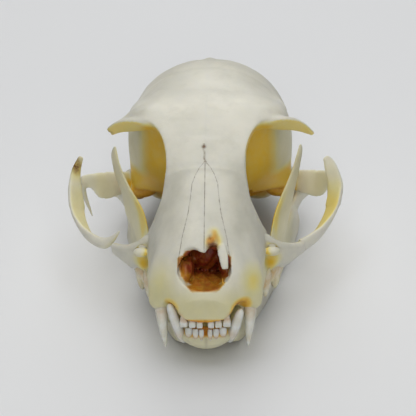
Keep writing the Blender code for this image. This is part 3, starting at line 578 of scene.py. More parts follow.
def sampled(field, low, step, points):
    """The value of a grid at points between its nodes, by trilinear mixing."""
    at = (points - low) / step
    base = np.clip(np.floor(at).astype(int), 0, np.array(field.shape) - 2)
    return sum(share * field[tuple((base + corner).T)] for corner, share in corners_of(at - base))


def slope_at(field, low, step, points):
    """The outward direction at points: central differences of the sampled distance."""
    grad = np.stack([
        sampled(field, low, step, points + step * e) - sampled(field, low, step, points - step * e)
        for e in np.eye(3)
    ], axis=1)
    return grad / np.maximum(np.linalg.norm(grad, axis=1, keepdims=True), 1e-6)


def relaxed(points, quads, rounds, pull=0.5):
    """Each point moved towards the mean of its neighbours along the quads' edges."""
    ends = np.vstack([quads[:, [i, (i + 1) % 4]] for i in range(4)])
    a, b = ends.T
    degree = np.bincount(a, minlength=len(points)) + np.bincount(b, minlength=len(points))
    for _ in range(rounds):
        mean = np.stack([
            np.bincount(a, weights=points[b, k], minlength=len(points))
            + np.bincount(b, weights=points[a, k], minlength=len(points))
            for k in range(3)
        ], axis=1) / degree[:, None]
        points = points + pull * (mean - points)
    return points


def grain(points, size, seed):
    """Smooth random lumps between -1 and 1: corner values hashed from a lattice, eased between."""
    at = points / size
    base = np.floor(at).astype(np.int64)
    f = at - base
    out = 0.0
    for corner, share in corners_of(f * f * (3 - 2 * f)):
        x, y, z = (base + corner).T
        h = (x * 73856093 ^ y * 19349663 ^ z * 83492791 ^ seed * 2654435761) & 0x7FFFFFFF
        h = (h * 1103515245 + 12345) & 0x7FFFFFFF
        h = ((h >> 11) ^ h) * 69069 & 0x7FFFFFFF
        out = out + share * (h / 0x3FFFFFFF - 1.0)
    return out


class Crowd:
    """How much bone stands near a point, read from a running sum of the filled grid cells."""

    def __init__(self, clay):
        self.low = np.array([a[0] for a in clay.axes])
        self.step = clay.step
        filled = (clay.d < 0).astype(np.int32)
        for axis in range(3):
            filled = np.cumsum(filled, axis=axis, dtype=np.int32)
        self.sums = np.pad(filled, ((1, 0), (1, 0), (1, 0)))

    def share(self, points, outward, reach):
        """The filled share of a cube of this half-width that stands just off the surface."""
        middle = (points + outward * reach * 1.25 - self.low) / self.step
        half = reach / self.step
        top = np.array(self.sums.shape) - 1
        a = np.clip(np.round(middle - half).astype(int), 0, top)
        b = np.clip(np.round(middle + half).astype(int), 0, top)
        total = 0
        for corner in product((0, 1), repeat=3):
            node = tuple((b if far else a)[:, axis] for axis, far in enumerate(corner))
            total = total + (-1) ** (3 - sum(corner)) * self.sums[node].astype(np.int64)
        return total / (2 * half) ** 3


def spot(points, centre, radii):
    """1 at the centre of an ellipsoid, easing to 0 at its surface and beyond."""
    r = np.linalg.norm((points - centre) / np.array(radii, float), axis=1)
    return np.clip(1 - r, 0, 1) * np.sqrt(np.clip(1 - r * r, 0, 1))


def shown(name, data):
    """A new object with this data, in the scene."""
    obj = bpy.data.objects.new(name, data)
    bpy.context.scene.collection.objects.link(obj)
    return obj


def mesh_object(name, points, faces, look, tints):
    """A mesh of quads or triangles, placed in the room, smooth, with a float attribute for each tint."""
    mesh = bpy.data.meshes.new(name)
    mesh.vertices.add(len(points))
    mesh.vertices.foreach_set("co", placed(points).astype(np.float32).ravel())
    corners = faces.shape[1]
    mesh.loops.add(faces.size)
    mesh.loops.foreach_set("vertex_index", faces.astype(np.int32).ravel())
    mesh.polygons.add(len(faces))
    mesh.polygons.foreach_set("loop_start", np.arange(0, faces.size, corners, dtype=np.int32))
    mesh.update(calc_edges=True)
    mesh.shade_smooth()
    for tint, values in tints.items():
        layer = mesh.attributes.new(tint, "FLOAT", "POINT")
        layer.data.foreach_set("value", np.asarray(values, np.float32))
    mesh.materials.append(look)
    return shown(name, mesh)


def linear(hex_colour):
    """sRGB hex to linear RGBA."""
    channels = [int(hex_colour[i : i + 2], 16) / 255 for i in (1, 3, 5)]
    return tuple(c / 12.92 if c <= 0.04045 else ((c + 0.055) / 1.055) ** 2.4 for c in channels) + (1.0,)


def wire(tree, made, inputs):
    """Sets the inputs of a node, each to a value or to another node's socket."""
    for key, value in inputs.items():
        if isinstance(value, bpy.types.NodeSocket):
            tree.links.new(value, made.inputs[key])
        else:
            made.inputs[key].default_value = value


def node(tree, kind, inputs=None, **settings):
    """Adds a shader node with its settings and links, and gives its outputs."""
    made = tree.nodes.new("ShaderNode" + kind)
    for key, value in settings.items():
        setattr(made, key, value)
    wire(tree, made, inputs or {})
    return made.outputs


def tinted(tree, where, colour, layers, detail, clear):
    """Mixes tints over a colour, each broken up by a noise; on the bone they hold painted shade as well
    as stain. A layer is the name of the mesh's attribute, its colour, the noise's size in mm and the
    tint's strength at the noise's two ends."""
    for tint, shade, size, low, high in layers:
        amount = node(tree, "Attribute", attribute_name=tint)["Fac"]
        mottle = node(tree, "TexNoise", {"Vector": where, "Scale": 1000 / size, "Detail": detail})["Fac"]
        mottle = node(tree, "MapRange", {
            "Value": mottle, "From Min": 0.3, "From Max": clear, "To Min": low, "To Max": high,
        })["Result"]
        amount = node(tree, "Math", {0: amount, 1: mottle}, operation="MULTIPLY", use_clamp=True)[0]
        colour = node(tree, "Mix", {0: amount, 6: colour, 7: linear(shade)}, data_type="RGBA")[2]
    return colour


# Dry cleaned bone: compact lamellar bone, degreased and bleached, so chalky cream with greyer thin
# places, a clear yellow where grease stayed in thin walls, orange and brown along edges and cracks,
# and dark red where blood dried. The grey and the yellow tints also hold painted shade, in hollows
# and on faces turned from the light.
STAINS_AND_SHADE = (
    ("thin", "#a8a694", 4.0, 0.45, 1.0),
    ("khaki", "#e6dc8e", 2.2, 0.85, 1.0),
    ("amber", "#efc63a", 1.6, 0.85, 1.0),
    ("orange", "#cf8206", 1.2, 0.5, 1.3),
    ("rust", "#643606", 0.9, 0.5, 1.3),
    ("blood", "#7d2610", 1.4, 0.7, 1.1),
)


def bone_look(name, cream="#e3e0d1", chalk="#d8d6c8", thin="#bdbbaa", dirt="#6d5230"):
    look = bpy.data.materials.new(name)
    look.use_nodes = True
    tree = look.node_tree
    where = node(tree, "TexCoord")["Object"]

    # clouds 11 mm across, and thinner greyer bone in patches of 6 mm
    big = node(tree, "TexNoise", {"Vector": where, "Scale": 1000 / 11, "Detail": 4.0})["Fac"]
    big = node(tree, "MapRange", {"Value": big, "From Min": 0.38, "From Max": 0.66})["Result"]
    grey = node(tree, "TexNoise", {
        "Vector": where, "Scale": 1000 / 6, "Detail": 6.0, "Roughness": 0.62,
    })["Fac"]
    grey = node(tree, "MapRange", {
        "Value": grey, "From Min": 0.47, "From Max": 0.74, "To Max": 0.4,
    })["Result"]
    colour = node(tree, "Mix", {0: big, 6: linear(cream), 7: linear(chalk)}, data_type="RGBA")[2]
    colour = node(tree, "Mix", {0: grey, 6: colour, 7: linear(thin)}, data_type="RGBA")[2]
    colour = tinted(tree, where, colour, STAINS_AND_SHADE, 4.0, 0.66)

    # the hairline sutures: dirt where the stored distance to the line is under 0.16 mm
    line = node(tree, "Attribute", attribute_name="line")["Fac"]
    line = node(tree, "Math", {0: line}, operation="ABSOLUTE")[0]
    line = node(tree, "MapRange", {
        "Value": line, "From Min": 0.02, "From Max": 0.16, "To Min": 0.75, "To Max": 0.0,
    }, interpolation_type="SMOOTHSTEP")["Result"]
    gaps = node(tree, "TexNoise", {"Vector": where, "Scale": 1000 / 1.5, "Detail": 3.0})["Fac"]
    gaps = node(tree, "MapRange", {
        "Value": gaps, "From Min": 0.35, "From Max": 0.55, "To Min": 0.35,
    })["Result"]
    line = node(tree, "Math", {0: line, 1: gaps}, operation="MULTIPLY")[0]
    colour = node(tree, "Mix", {0: line, 6: colour, 7: linear(dirt)}, data_type="RGBA")[2]

    # a dull shine, light that goes a millimetre into the bone, pores and a slow unevenness
    shine = node(tree, "MapRange", {"Value": big, "To Min": 0.40, "To Max": 0.55})["Result"]
    pores = node(tree, "TexNoise", {"Vector": where, "Scale": 1000 / 0.35, "Detail": 2.0})["Fac"]
    swell = node(tree, "TexNoise", {"Vector": where, "Scale": 1000 / 1.8, "Detail": 3.0})["Fac"]
    height = node(tree, "Math", {0: pores, 1: 0.3, 2: swell}, operation="MULTIPLY_ADD")[0]
    bump = node(tree, "Bump", {"Strength": 0.4, "Distance": 0.00012, "Height": height})["Normal"]
    wire(tree, tree.nodes["Principled BSDF"], {
        "Base Color": colour, "Roughness": shine, "IOR": 1.5, "Normal": bump,
        "Subsurface Weight": 0.3, "Subsurface Radius": (1.0, 0.85, 0.5), "Subsurface Scale": 0.0012,
    })
    return look


bone = bone_look("dry_cleaned_bone")
cranium_crowd = Crowd(cranium)
NASAL_OUTLINE = np.array([
    (0, 6.4), (4.5, 6.1), (9.5, 5.1), (14.4, 3.8), (18, 3.25), (21, 3), (23.4, 2.1), (25.2, 0.8), (26.4, 0),
])


def nasal_edge(Y):
    """Half the width of the pair of nasal bones at each place along the snout."""
    return np.interp(Y, *NASAL_OUTLINE.T)


# the nose opening: its rim's place along the snout and its half width, each against the height
RIM_DEPTH = np.array([(5.5, 0.5), (7.4, 0.8), (10, 1.6), (12, 3.0), (13.5, 5.4), (14.6, 7.2), (15.5, 8.6)])
RIM_HALF = np.array([
    (4.9, 0.3), (5.6, 1.8), (6.6, 3.2), (7.6, 4.4), (9, 5.6), (11, 6.2), (12.6, 6.2), (13.6, 5.2), (15, 3.7),
    (16.2, 0),
])
NO_LINE = 9  # added to a line's distance where the line doesn't run


def band(values, low, rise, high, fall):
    """1 in a range: easing in over `rise` above its low end, and out over `fall` below its high end."""
    return ease((values - low) / rise) * ease((high - values) / fall)


def stains_and_shade(points, outward, crowd, side, braincase):
    """Amber in pockets, in the orbit and on the inner sides of the arches, partly grease yellow and
    partly painted shade; orange along low edges; brown in cracks; dried blood inside the nose; grey
    on the snout's sides, the braincase's back and the low front, partly thinner bone and partly
    painted shade. Each is a share from 0 to 1, but for the line, which is the distance to the
    nearest hairline suture in millimetres."""
    x, y, z = points.T
    wide, out_x, out_y, out_z = np.abs(x), outward[:, 0] * np.sign(x), outward[:, 1], outward[:, 2]
    left_side = np.stack([wide, y, z], axis=1)

    # amber, partly grease yellow and partly painted shade, set by how much bone crowds a point and,
    # on the orbit's wall and the horns, by which way the surface faces: in pockets, where much bone
    # stands near; on the orbit's wall and low edge; behind the brow horns; by the small hole under the
    # orbit; inside the arches; down the muzzle
    near, far = crowd.share(points, outward, 1.6), crowd.share(points, outward, 5.0)
    amber = np.clip(0.9 * (near - 0.2), 0, 0.35) + np.clip(far - 0.14, 0, 0.4)
    in_orbit = braincase * band(y, 28, 5, 70, 8) * band(z, -5, 4, 32.4, 3) * ease((22.6 - wide) / 1.6)
    # the wall's amber is painted shade in part: it fades where the surface turns up or back
    wall = in_orbit * ease(1.35 - 2.2 * out_z) * ease(1.3 - 1.6 * out_y) * ease((64 - y) / 7)
    wall *= 1.15 - 0.95 * ease((wide - 13.5) / 5) * ease((z - 10) / 4)
    low_edge = in_orbit * band(y, 42, 4, 66, 6) * ease((14.9 - 0.44 * wide - z) / 1.2)
    low_edge *= ease((21 - wide) / 1.5)
    # painted shade under the brow horns: amber on the faces that turn forward and not up
    horn = 0.6 * ease((wide - 12) / 3) * ease((y - 38.5) / 2) * ease((z - 23) / 2)
    horn *= ease(1.3 - 3 * out_z) * ease(-2 * out_y)
    pocket = 1.3 * spot(left_side, (15.6, 20.5, 3.4), (3.4, 4.0, 3.0))
    pocket *= 1 - 1.3 * spot(left_side, (15.6, 19.2, 7.2), (2.6, 2.4, 1.8))
    arch = 0.15 * ease((wide - 19) / 3) * band(y, 24, 3, 58, 4) * ease(0.6 - 1.3 * out_x)
    bar = 0.06 * ease((wide - 19) / 3) * band(y, 50, 4, 66, 4) * ease((13 - z) / 2)
    snout = spot(points, (9.6, 8, 6.5), (5.0, 6, 5)) + 0.35 * spot(points, (-9.6, 6, 7.5), (5.5, 7, 6))
    snout += 0.28 * ease((10 - z) / 7) * ease((24 - y) / 8) * (1 - 0.35 * ease((-5 - z) / 2))

    # the jaw's tall blades: at the foot, and down the front edge of the face
    foot = 0.42 * ease((wide - 13) / 2) * band(y, 33, 3, 50, 4) * band(z, -8, 3, 15, 8)
    foot *= ease(0.4 - 1.5 * out_x)
    front_edge = np.interp(z, (-6, 2.5, 7.6, 10.3, 12.8), (15.0, 15.6, 16.4, 17.6, 19.3))
    face = 0.2 + 0.45 * ease((front_edge + 1.7 - wide) / 1.4) * ease((13 - z) / 4)
    face *= band(y, 33, 3, 53, 4) * band(wide, 13, 1.5, 26, 2) * ease((z + 7) / 3)
    amber += np.maximum(wall, horn) + pocket + arch + bar + foot + (1 - braincase) * face + snout
    amber += 1.1 * low_edge

    # the amber taken off again on the crown, the outer part of the loose cheekbone and the roots of the brow
    # horns
    amber *= 1 - ease((z - 25.5) / 1.5) * ease((y - 45.5) / 1.5)
    amber *= 1 - 0.45 * ease((-x - 28) / 2)
    amber *= 1 - ease(3 * spot(left_side, (18.0, 46.4, 30.6), (2.2, 3.4, 2.0)))

    # old plaque at the fangs' sockets and the gums, the stain above the nose, and cracked edges
    sockets = 2.2 * spot(points, (7.8, 3.2, 1.4), (3.6, 4.2, 3.2))
    sockets += 1.1 * spot(points, (-7.0, 3.2, 2.2), (3.0, 3.4, 2.6))
    gums = ease((7.4 - wide) / 2) * ease((5.2 - y) / 1.5) * ease(-z / 0.8)
    lumps, crumbs = grain(points, 1.3, 33), grain(points, 1.1, 34)
    orange = 0.6 * sockets + 0.95 * gums * ease((z + 6.6) / 1.2) + 0.5 * low_edge
    orange += 1.2 * spot(left_side, (5.9, 1.6, -0.2), (1.8, 2.6, 2.4))
    orange += 2.0 * (0.6 + 0.7 * lumps) * spot(points, (1.9, 8.3, 16.0), (1.8, 3.4, 2.8))
    amber += 1.7 * sockets + 0.8 * gums * ease(z + 6.4)
    amber += 0.8 * spot(points, (-33.2, 48.6, 15.4), (3.0, 3.6, 4.6))
    amber += 1.8 * (0.7 + 0.6 * lumps) * spot(points, (2.1, 8.6, 15.9), (2.5, 4.2, 3.4))
    rust = 1.3 * (0.4 + 0.8 * crumbs) * spot(points, (2.0, 8.4, 15.9), (1.7, 3.2, 2.6))
    rust += 0.4 * gums * spot(points, (0, 1.6, -4.0), (0.8, 5.0, 7.0))
    for strength, centre, radii in (
        (1.4, (-0.4, 30.2, 29.2), (0.8, 0.8, 1.0)),
        (1.6, (1.9, 7.0, 15.0), (2.0, 1.8, 1.8)),
        (1.3, (-33.2, 48.8, 16.3), (2.0, 2.6, 4.2)),
        (1.0, (-24.5, 46.4, 26.2), (2.4, 2.2, 1.8)),
        (0.9, (4.4, 1.0, -1.6), (1.0, 2.0, 1.2)),
    ):
        rust += strength * spot(points, centre, radii)

    # the membranes in the nose: blood, but for dry yellow patches low down and at the right
    rim = np.interp(z, *RIM_DEPTH.T) + 0.4 + (x < 0) * ease((z - 11) / 1.5)
    inside = ease(0.1 + (np.interp(z, *RIM_HALF.T) - wide) / 0.4) * ease((y - rim) / 0.5)
    inside *= (y < 34) * (z < 16.6) * (z > 3)
    hall = (y > 4.5) * (y < 30) * (wide < 5.4) * (z > 5.5 - 0.5 * (y - 4.5))
    inside = np.maximum(inside, hall * (z < 15.2) * (z < 10 + 0.62 * (y - 2)))
    seen = z + 0.54 * (y - 4)
    low_right = np.clip(ease((10.2 - seen) / 2.4) + 0.8 * ease((-1.8 - x) / 3), 0, 1)
    deep = ease((y - 4) / 2) * ease((5.0 - wide) / 1.5) * ease((seen - 9.2) / 1.2)
    patch = ease(0.5 + 0.9 * grain(points, 2.3, 21))
    dry = low_right * (0.45 + 0.55 * patch) * (1 - 0.85 * deep)
    blood = inside * (1 - 0.97 * dry)
    orange = np.maximum(orange * (1 - inside), 0.8 * inside)
    amber = np.maximum(amber, inside)
    rust += 0.25 * inside

    # grey: partly thinner bone, and partly painted shade on the snout's sides, the braincase's back and the
    # low front of the muzzle, faces that turn from the light above
    thin = 0.3 * ease((wide - 4) / 4) * band(y, 7, 7, 31, 9) * ease((z - 5) / 4)
    thin += 0.3 * ease((y - 60) / 10) + 0.4 * ease((8 - z) / 5) * ease((14 - y) / 5)

    # the nearest hairline: the nasal bones' outline, their midline, and a crack up the forehead
    edge = nasal_edge(y)
    line = wide - edge
    if side:
        line = np.where(side * x < edge, np.minimum(side * x, edge - side * x), line)
    line = line + NO_LINE * (y > 26.4)
    crack = 0.4 * np.abs(x + 0.1 * (y - 26.0) + 0.12 * np.sin(2.6 * y)) + NO_LINE * ((y < 26) | (y > 31.2))
    line = np.where(crack < np.abs(line), crack, line) + NO_LINE * ((z < 9.5) | (out_z < 0))
    shares = {
        "khaki": 1.8 * amber, "amber": 1.7 * (amber - 0.42), "orange": orange, "rust": rust,
        "blood": blood, "thin": thin,
    }
    return {**{tint: np.clip(share, 0, 1) for tint, share in shares.items()}, "line": line}


# how far two bones overlap at a closed suture, how far their rims dip there, and the bone's unevenness
CLOSED, HAIR, UNEVEN = 0.8, 0.03, 0.05


def bone_skin(clay, box, region, overlap, settle):
    """One bone's surface: the clay inside a region, a little uneven. Where the suture is closed the
    bones overlap, and each dips by a hair towards its own rim, so that no rim shows."""
    at, X, Y, Z = clay.near(*box)
    d = np.pad(np.maximum(clay.d[at], region(X, Y, Z) - overlap), 1, constant_values=1.0)
    low = np.array([axis[s.start] for axis, s in zip(clay.axes, at)]) - clay.step
    points, quads = netted(d, low, clay.step)
    points = relaxed(points, quads, 1)
    outward = slope_at(clay.d, np.array([a[0] for a in clay.axes]), clay.step, points)
    uneven = settle * grain(points, 2.6, 3) + 1.6 * settle * grain(points, 7.0, 5)
    if overlap:
        uneven -= HAIR * ease((region(*points.T) + overlap) / (2 * overlap))
    return points + outward * uneven[:, None], quads, outward


def bone_piece(name, skin, crowd, mirror=1, side=0, braincase=1.0):
    """A bone's object, as modelled or mirrored to the right, with its tints: stain and painted shade.
    `side` is for a bone that meets its twin at the midline, `braincase` is 0 for a bone that has no
    part in the orbit."""
    points, quads, outward = skin
    if mirror < 0:
        points, quads, outward = points * (-1, 1, 1), quads[:, ::-1], outward * (-1, 1, 1)
    obj = mesh_object(name, points, quads, bone, stains_and_shade(points, outward, crowd, side, braincase))
    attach(obj, "root")
    return obj


# the parts of the grid that hold all bones or one side's, and the planes that bound each bone
ALL = ((-34.5, -2.2, -9), (34.5, 90, 38.5))
HALF_BOX = {1: ((-1, -2.2, -9), ALL[1]), -1: (ALL[0], (1, 90, 38.5))}
BULLA = [((5.0, 0, 0), (-1, 0, 0)), ((18.6, 0, 0), (1, 0, 0)), ((0, 0, 2.4), (0, 0, 1)),
         ((0, 59.5, 0), (0, -1, 0)), ((0, 78.2, 0), (0, 1, 0))]
OCCIPITAL = [((0, 76, 5), (0, -1, 0.42))]
TEMPORAL = [((10.8, 0, 0), (-1, 0, 0)), ((17, 60, 15.5), (0.35, -0.1, 1)), ((17, 54, 10), (-0.35, -1, 0.25))]
SPHENOID = [((0, 36.5, 5), (0, -1, 0.3)), ((0, 0, 8.7), (0, 0, 1))]
PARIETAL = [((0, 50.5, 30), (0, -1, -0.15))]
FRONTAL = [((0, 25.9, 27), (0, -1, -0.4)), ((0, 0, 8.2), (0, 0, -1))]
PREMAXILLA = [((0, 3.9, 0), (0, 1, -0.36))]
MIDLINE = [((0, 0, 0), (-1, 0, 0))]


def without(own, *others):
    """A region less the regions that were taken before it."""
    return lambda X, Y, Z: np.max(np.broadcast_arrays(own(X, Y, Z), *(-o(X, Y, Z) for o in others)), axis=0)


occipital, sphenoid = region_of(OCCIPITAL), region_of(SPHENOID)
bullae = {side: region_of(BULLA, 0.5, side) for _, side in SIDES}
temporals = {side: region_of(TEMPORAL, 1.0, side) for _, side in SIDES}
for bone_name, region in (
    ("occipital", without(occipital, *bullae.values())),
    ("sphenoid", without(sphenoid, *bullae.values(), occipital, *temporals.values())),
):
    skin = bone_skin(cranium, ALL, region, CLOSED, UNEVEN)
    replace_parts(bone_piece(f"{bone_name}_bone", skin, cranium_crowd), bone_name)


for word, side in SIDES:
    bulla, temporal = bullae[side], temporals[side]
    base = [bulla, occipital, temporal, sphenoid]
    half = region_of(MIDLINE, 0.0, side)
    parietal = region_of(PARIETAL, 1.0, side)
    frontal = region_of(FRONTAL, 0.6, side)
    premaxilla = region_of(PREMAXILLA, 0.5, side)

    def nasal(X, Y, Z, side=side):
        return np.maximum(side * X - nasal_edge(Y), 9.5 - Z)

    def halved(own, *others, half=half):
        return lambda X, Y, Z: np.maximum(half(X, Y, Z), without(own, *others)(X, Y, Z))

    for bone_name, own, others, node_name in (
        ("nasal_bone", nasal, base, "nasal"),
        ("premaxilla_bone", premaxilla, [*base, parietal, frontal, nasal], "premaxilla"),
        ("maxilla_bone", half, [*base, parietal, frontal, nasal, premaxilla], "maxilla"),
        ("frontal_bone", frontal, [*base, parietal, nasal], "frontal"),
        ("parietal_bone", parietal, base, "parietal"),
        ("temporal_bone", temporal, [bulla, occipital], "temporal"),
        ("auditory_bulla", bulla, [], "bulla"),
    ):
        skin = bone_skin(cranium, HALF_BOX[side], halved(own, *others), CLOSED, UNEVEN)
        meets = side if node_name == "nasal" else 0
        piece = bone_piece(f"{bone_name}_{word}", skin, cranium_crowd, side=meets)
        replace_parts(piece, f"{node_name}_{word}")

# ============================================================ cheekbones
# The two zygomatic bones: thin blades of dense bone that close the cheek arch and stand up in a horn
# behind the eye. The left one is in place; the right one has come loose and swung out.
THIN_STEP = 0.25
CHEEK_HORN = [
    (32.6, 43.6, 8.2, 29.6, 45, 5.2, 0.9),
    (33.1, 45.8, 10.6, 29.9, 46.4, 7.6, 0.9),
    (33, 47, 12.6, 29.9, 47.2, 10.2, 0.85),
    (32.2, 48, 14.6, 28.9, 48, 13.6, 0.7),
    (31.2, 48.8, 16, 28.5, 48.6, 15.9, 0.55),
    (30, 49.2, 16.9, 28.2, 48.9, 17.2, 0.4),
]
LOOSE_CHEEK = [
    (21.3, 28.5, 7.8, 21.5, 28.7, 7.4, 0.3),
    (23.2, 29.3, 6.2, 23.4, 29, 4.6, 0.6),
    (25.8, 30.5, 5, 25.4, 29.6, 2.4, 0.9),
    (28.8, 33, 4.4, 27.6, 32.2, 2.2, 1.05),
    (31.6, 36, 4.8, 29.4, 36.4, 2.4, 1),
    (34, 40, 6.2, 31, 41.2, 3.6, 0.9),
    (35.1, 43.4, 8.4, 31.9, 45, 5.2, 0.85),
    (35.2, 46.2, 10.9, 32.5, 47.5, 7.2, 0.85),
    (34.8, 49.5, 11.2, 33, 51, 7.6, 0.8),
    (33.9, 53, 10, 33, 54, 7.8, 0.6),
]
LOOSE_HORN = [
    (34.9, 43.2, 8.2, 31.9, 45, 5.4, 0.9),
    (35.2, 46, 10.8, 32.4, 46.8, 8, 0.9),
    (35, 47.8, 13, 32.6, 48, 11.2, 0.85),
    (34.3, 49, 15.2, 32.2, 49, 14.4, 0.75),
    (32.8, 49.6, 17.5, 31.4, 49.6, 17.6, 0.45),
]
CHEEK_BOX = ((18, 19, -1), (37, 60, 22))
for word, side, arch, horn, cuts in (
    ("left", 1, CHEEK_EDGES, CHEEK_HORN, (FRONT_SUTURE, REAR_SUTURE)),
    ("right", -1, LOOSE_CHEEK, LOOSE_HORN, (REAR_SUTURE,)),
):
    cheek = Clay(*CHEEK_BOX, THIN_STEP)
    cheek.put(blade(arch, cup=0.5), 0.8)
    cheek.put(blade(horn, cup=0.5), 0.8)
    room = region_of([(point, [-w for w in way]) for point, way in cuts], 0.3)
    skin = bone_skin(cheek, CHEEK_BOX, room, 0.02, 0.03)
    piece = bone_piece(f"cheekbone_{word}", skin, Crowd(cheek), side, braincase=0.0)
    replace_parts(piece, f"zygomatic_{word}")

# ============================================================ lower jaw
# Two dentary bones that meet at the chin: a body that carries the teeth, a thin tall blade for the
# temple's muscle, a cross-bar that hinges under the skull, and the angle behind it.
jaw = Clay((0, 0, -17), (31, 68, 23), THIN_STEP)
jaw.put(loft([
    (2.2, 4, -8.4, -5.6, 0, 2.2),
    (3.4, 4.2, -9.9, -5, -0.45, 2.1),
    (5, 4.2, -10.9, -4.6, -0.75, 2),
    (8.5, 4.6, -11.9, -4.8, -0.75, 2),
    (12.5, 6, -13, -7, 0, 2.1),
]), 1.5)
jaw.put(limb([
    (5, 7, -7.4, 1.8, 2.2),
    (6.4, 11, -8.7, 2, 3.6),
    (7.9, 16, -9.5, 2.1, 5),
    (10.2, 23, -9.4, 2.2, 5.2),
    (12.7, 30, -8.8, 2.2, 5.4),
    (15.2, 37, -7.6, 2, 5.6),
    (17.9, 44, -5.6, 1.6, 5.6),
    (20.4, 51, -3.9, 1.4, 4.8),
    (21.4, 56, -4.4, 1.3, 3),
]), 1.5)
CORONOID = [
    (15.6, 33.5, 2.5, 17.9, 43, -6, 1.3),
    (16.4, 36, 7.6, 19, 45, -0.5, 0.95),
    (17.6, 38.6, 10.3, 20.2, 46.6, 3.8, 0.85),
    (19.3, 41.8, 12.8, 21.2, 48.6, 8, 0.72),
    (20.9, 45.4, 15.6, 22.3, 50.4, 12.6, 0.6),
    (22.3, 49.2, 19, 23.2, 51.4, 17.6, 0.45),
    (22.6, 50.4, 20.2, 23.1, 51.3, 19.4, 0.3),
]
JAW_NECK = [
    (18, 45, -3, 19.8, 52, -8.4, 1.2),
    (19.4, 51, -0.6, 20.6, 57.5, -5.2, 0.9),
    (21.6, 57, 1.8, 22.6, 62, -1, 1.2),
    (22.8, 61, 2.6, 24.4, 64, 0.2, 1.4),
]
jaw.put(blade(CORONOID, cup=0.3), 0.9)
jaw.put(blade(JAW_NECK), 1.2)
jaw.put(limb([(18.8, 63.4, 1.4, 1.4, 1.3), (22.4, 63.6, 1.5, 1.8, 1.7), (26, 63.2, 1.4, 1.4, 1.3)]), 1)
jaw.put(limb([(20.4, 54, -6.6, 1.3, 2.2), (21, 59.5, -7.6, 1.3, 1.8), (21.2, 64.2, -7.9, 1.1, 1)]), 1)
jaw.carve(egg((24.6, 46.5, -3), (4.6, 8, 6)), 1.2)
jaw.put(limb([(-1, 3.5, -5.3, 0.45, 1.1), (2.4, 3.8, -5.3, 0.45, 1.1), (4, 4.3, -5.5, 0.45, 1)]), 0.3)
for hole in ([(9.6, 13, -8, 0.7, 0.6), (7.4, 15.5, -8, 0.5, 0.5)],
             [(11.8, 18.5, -7.6, 0.5, 0.45), (9.6, 20.5, -7.6, 0.4, 0.4)]):
    jaw.carve(limb(hole), 0.5)
# the jaw rests on the floor, so it ends there; the floor is a tilted plane in the skull's frame
lean_back, upright = math.sin(NOSE_UP), math.cos(NOSE_UP)
over_floor = plane((0, 0, -ORIGIN_ON_FLOOR[2] / upright), (0, lean_back, -upright))
jaw_room = region_of(MIDLINE, 0)
skin = bone_skin(
    jaw, ((-1, 0, -17), (31, 68, 23)),
    lambda X, Y, Z: np.maximum(jaw_room(X, Y, Z) - 0.3, over_floor(X, Y, Z)), 0.0, 0.03,
)
jaw_crowd = Crowd(jaw)
# the right blade leans and turns out a little, and its neck goes in
BLADE_LEAN, BLADE_TURN = 0.5, 0.14
for word, side in SIDES:
    if side < 0:
        y, z = skin[0][:, 1:2], skin[0][:, 2:3]
        lean = (BLADE_LEAN + BLADE_TURN * (y - 39.5 - 0.6 * z)) * ease((z + 1) / 5) * band(y, 30, 5, 56, 3)
        lean += (0.7 - 0.4 * ease((z - 17) / 3)) * ease((z - 8) / 6) * ease((y - 30) / 5)
        lean -= 1.1 * ease((y - 52) / 3) * ease((-0.5 - z) / 2)
        skin = (skin[0] + lean * (1, 0, 0), *skin[1:])
    piece = bone_piece(f"jaw_{word}", skin, jaw_crowd, side, braincase=0.0)
    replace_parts(piece, f"mandible_{word}")

# ============================================================ canines
# Four fangs: cones of dentine in a clear ivory enamel, oval in section, with a shallow groove down
# the outside, set in deep sockets. The upper pair stands outside the lower one.
UPPER_FANG_SHAPE = [
    (10, 8.4, 5, 1, 1.3),
    (10.2, 7.4, 1.6, 1.35, 1.8),
    (10.3, 6.6, -0.6, 1.5, 2),
    (10.2, 6.1, -3, 1.35, 1.75),
    (10, 5.8, -6, 1, 1.3),
    (9.8, 5.9, -8.8, 0.62, 0.8),
    (9.65, 6.2, -10.5, 0.3, 0.36),
    (9.6, 6.3, -11.2, 0.08, 0.08),
]
LOWER_FANG_SHAPE = [
    (5.4, 6.6, -9.6, 0.9, 1.1),
    (5.9, 5.4, -7.8, 1.1, 1.3),
    (6.3, 4.5, -6, 1.22, 1.45),
    (6.9, 3.8, -4, 1.22, 1.4),
    (7.4, 3.3, -2, 1.12, 1.2),
    (7.8, 3.05, -0.5, 1, 1.05),
    (8, 3, 0.4, 0.72, 0.75),
    (8.1, 3, 0.85, 0.3, 0.3),
]


def tube(rows, sides=40, square=2.0, groove=0.0):
    """Rings of superellipses along Z through a smooth path, capped with a fan at each end, as
    triangles. A row is x, y, z, half width, half depth; `groove` presses in the outer side."""
    rows = through(rows, 6)
    angle = np.linspace(0, 2 * math.pi, sides, endpoint=False)
    dent = 1 - groove * np.exp(-((np.angle(np.exp(1j * (angle + 0.6))) / 0.3) ** 2))
    wide = np.sign(np.cos(angle)) * np.abs(np.cos(angle)) ** (2 / square) * dent
    deep = np.sign(np.sin(angle)) * np.abs(np.sin(angle)) ** (2 / square) * dent
    rings = np.stack([
        rows[:, :1] + rows[:, 3:4] * wide, rows[:, 1:2] + rows[:, 4:5] * deep,
        np.repeat(rows[:, 2:3], sides, axis=1),
    ], axis=2)
    return capped(rings)


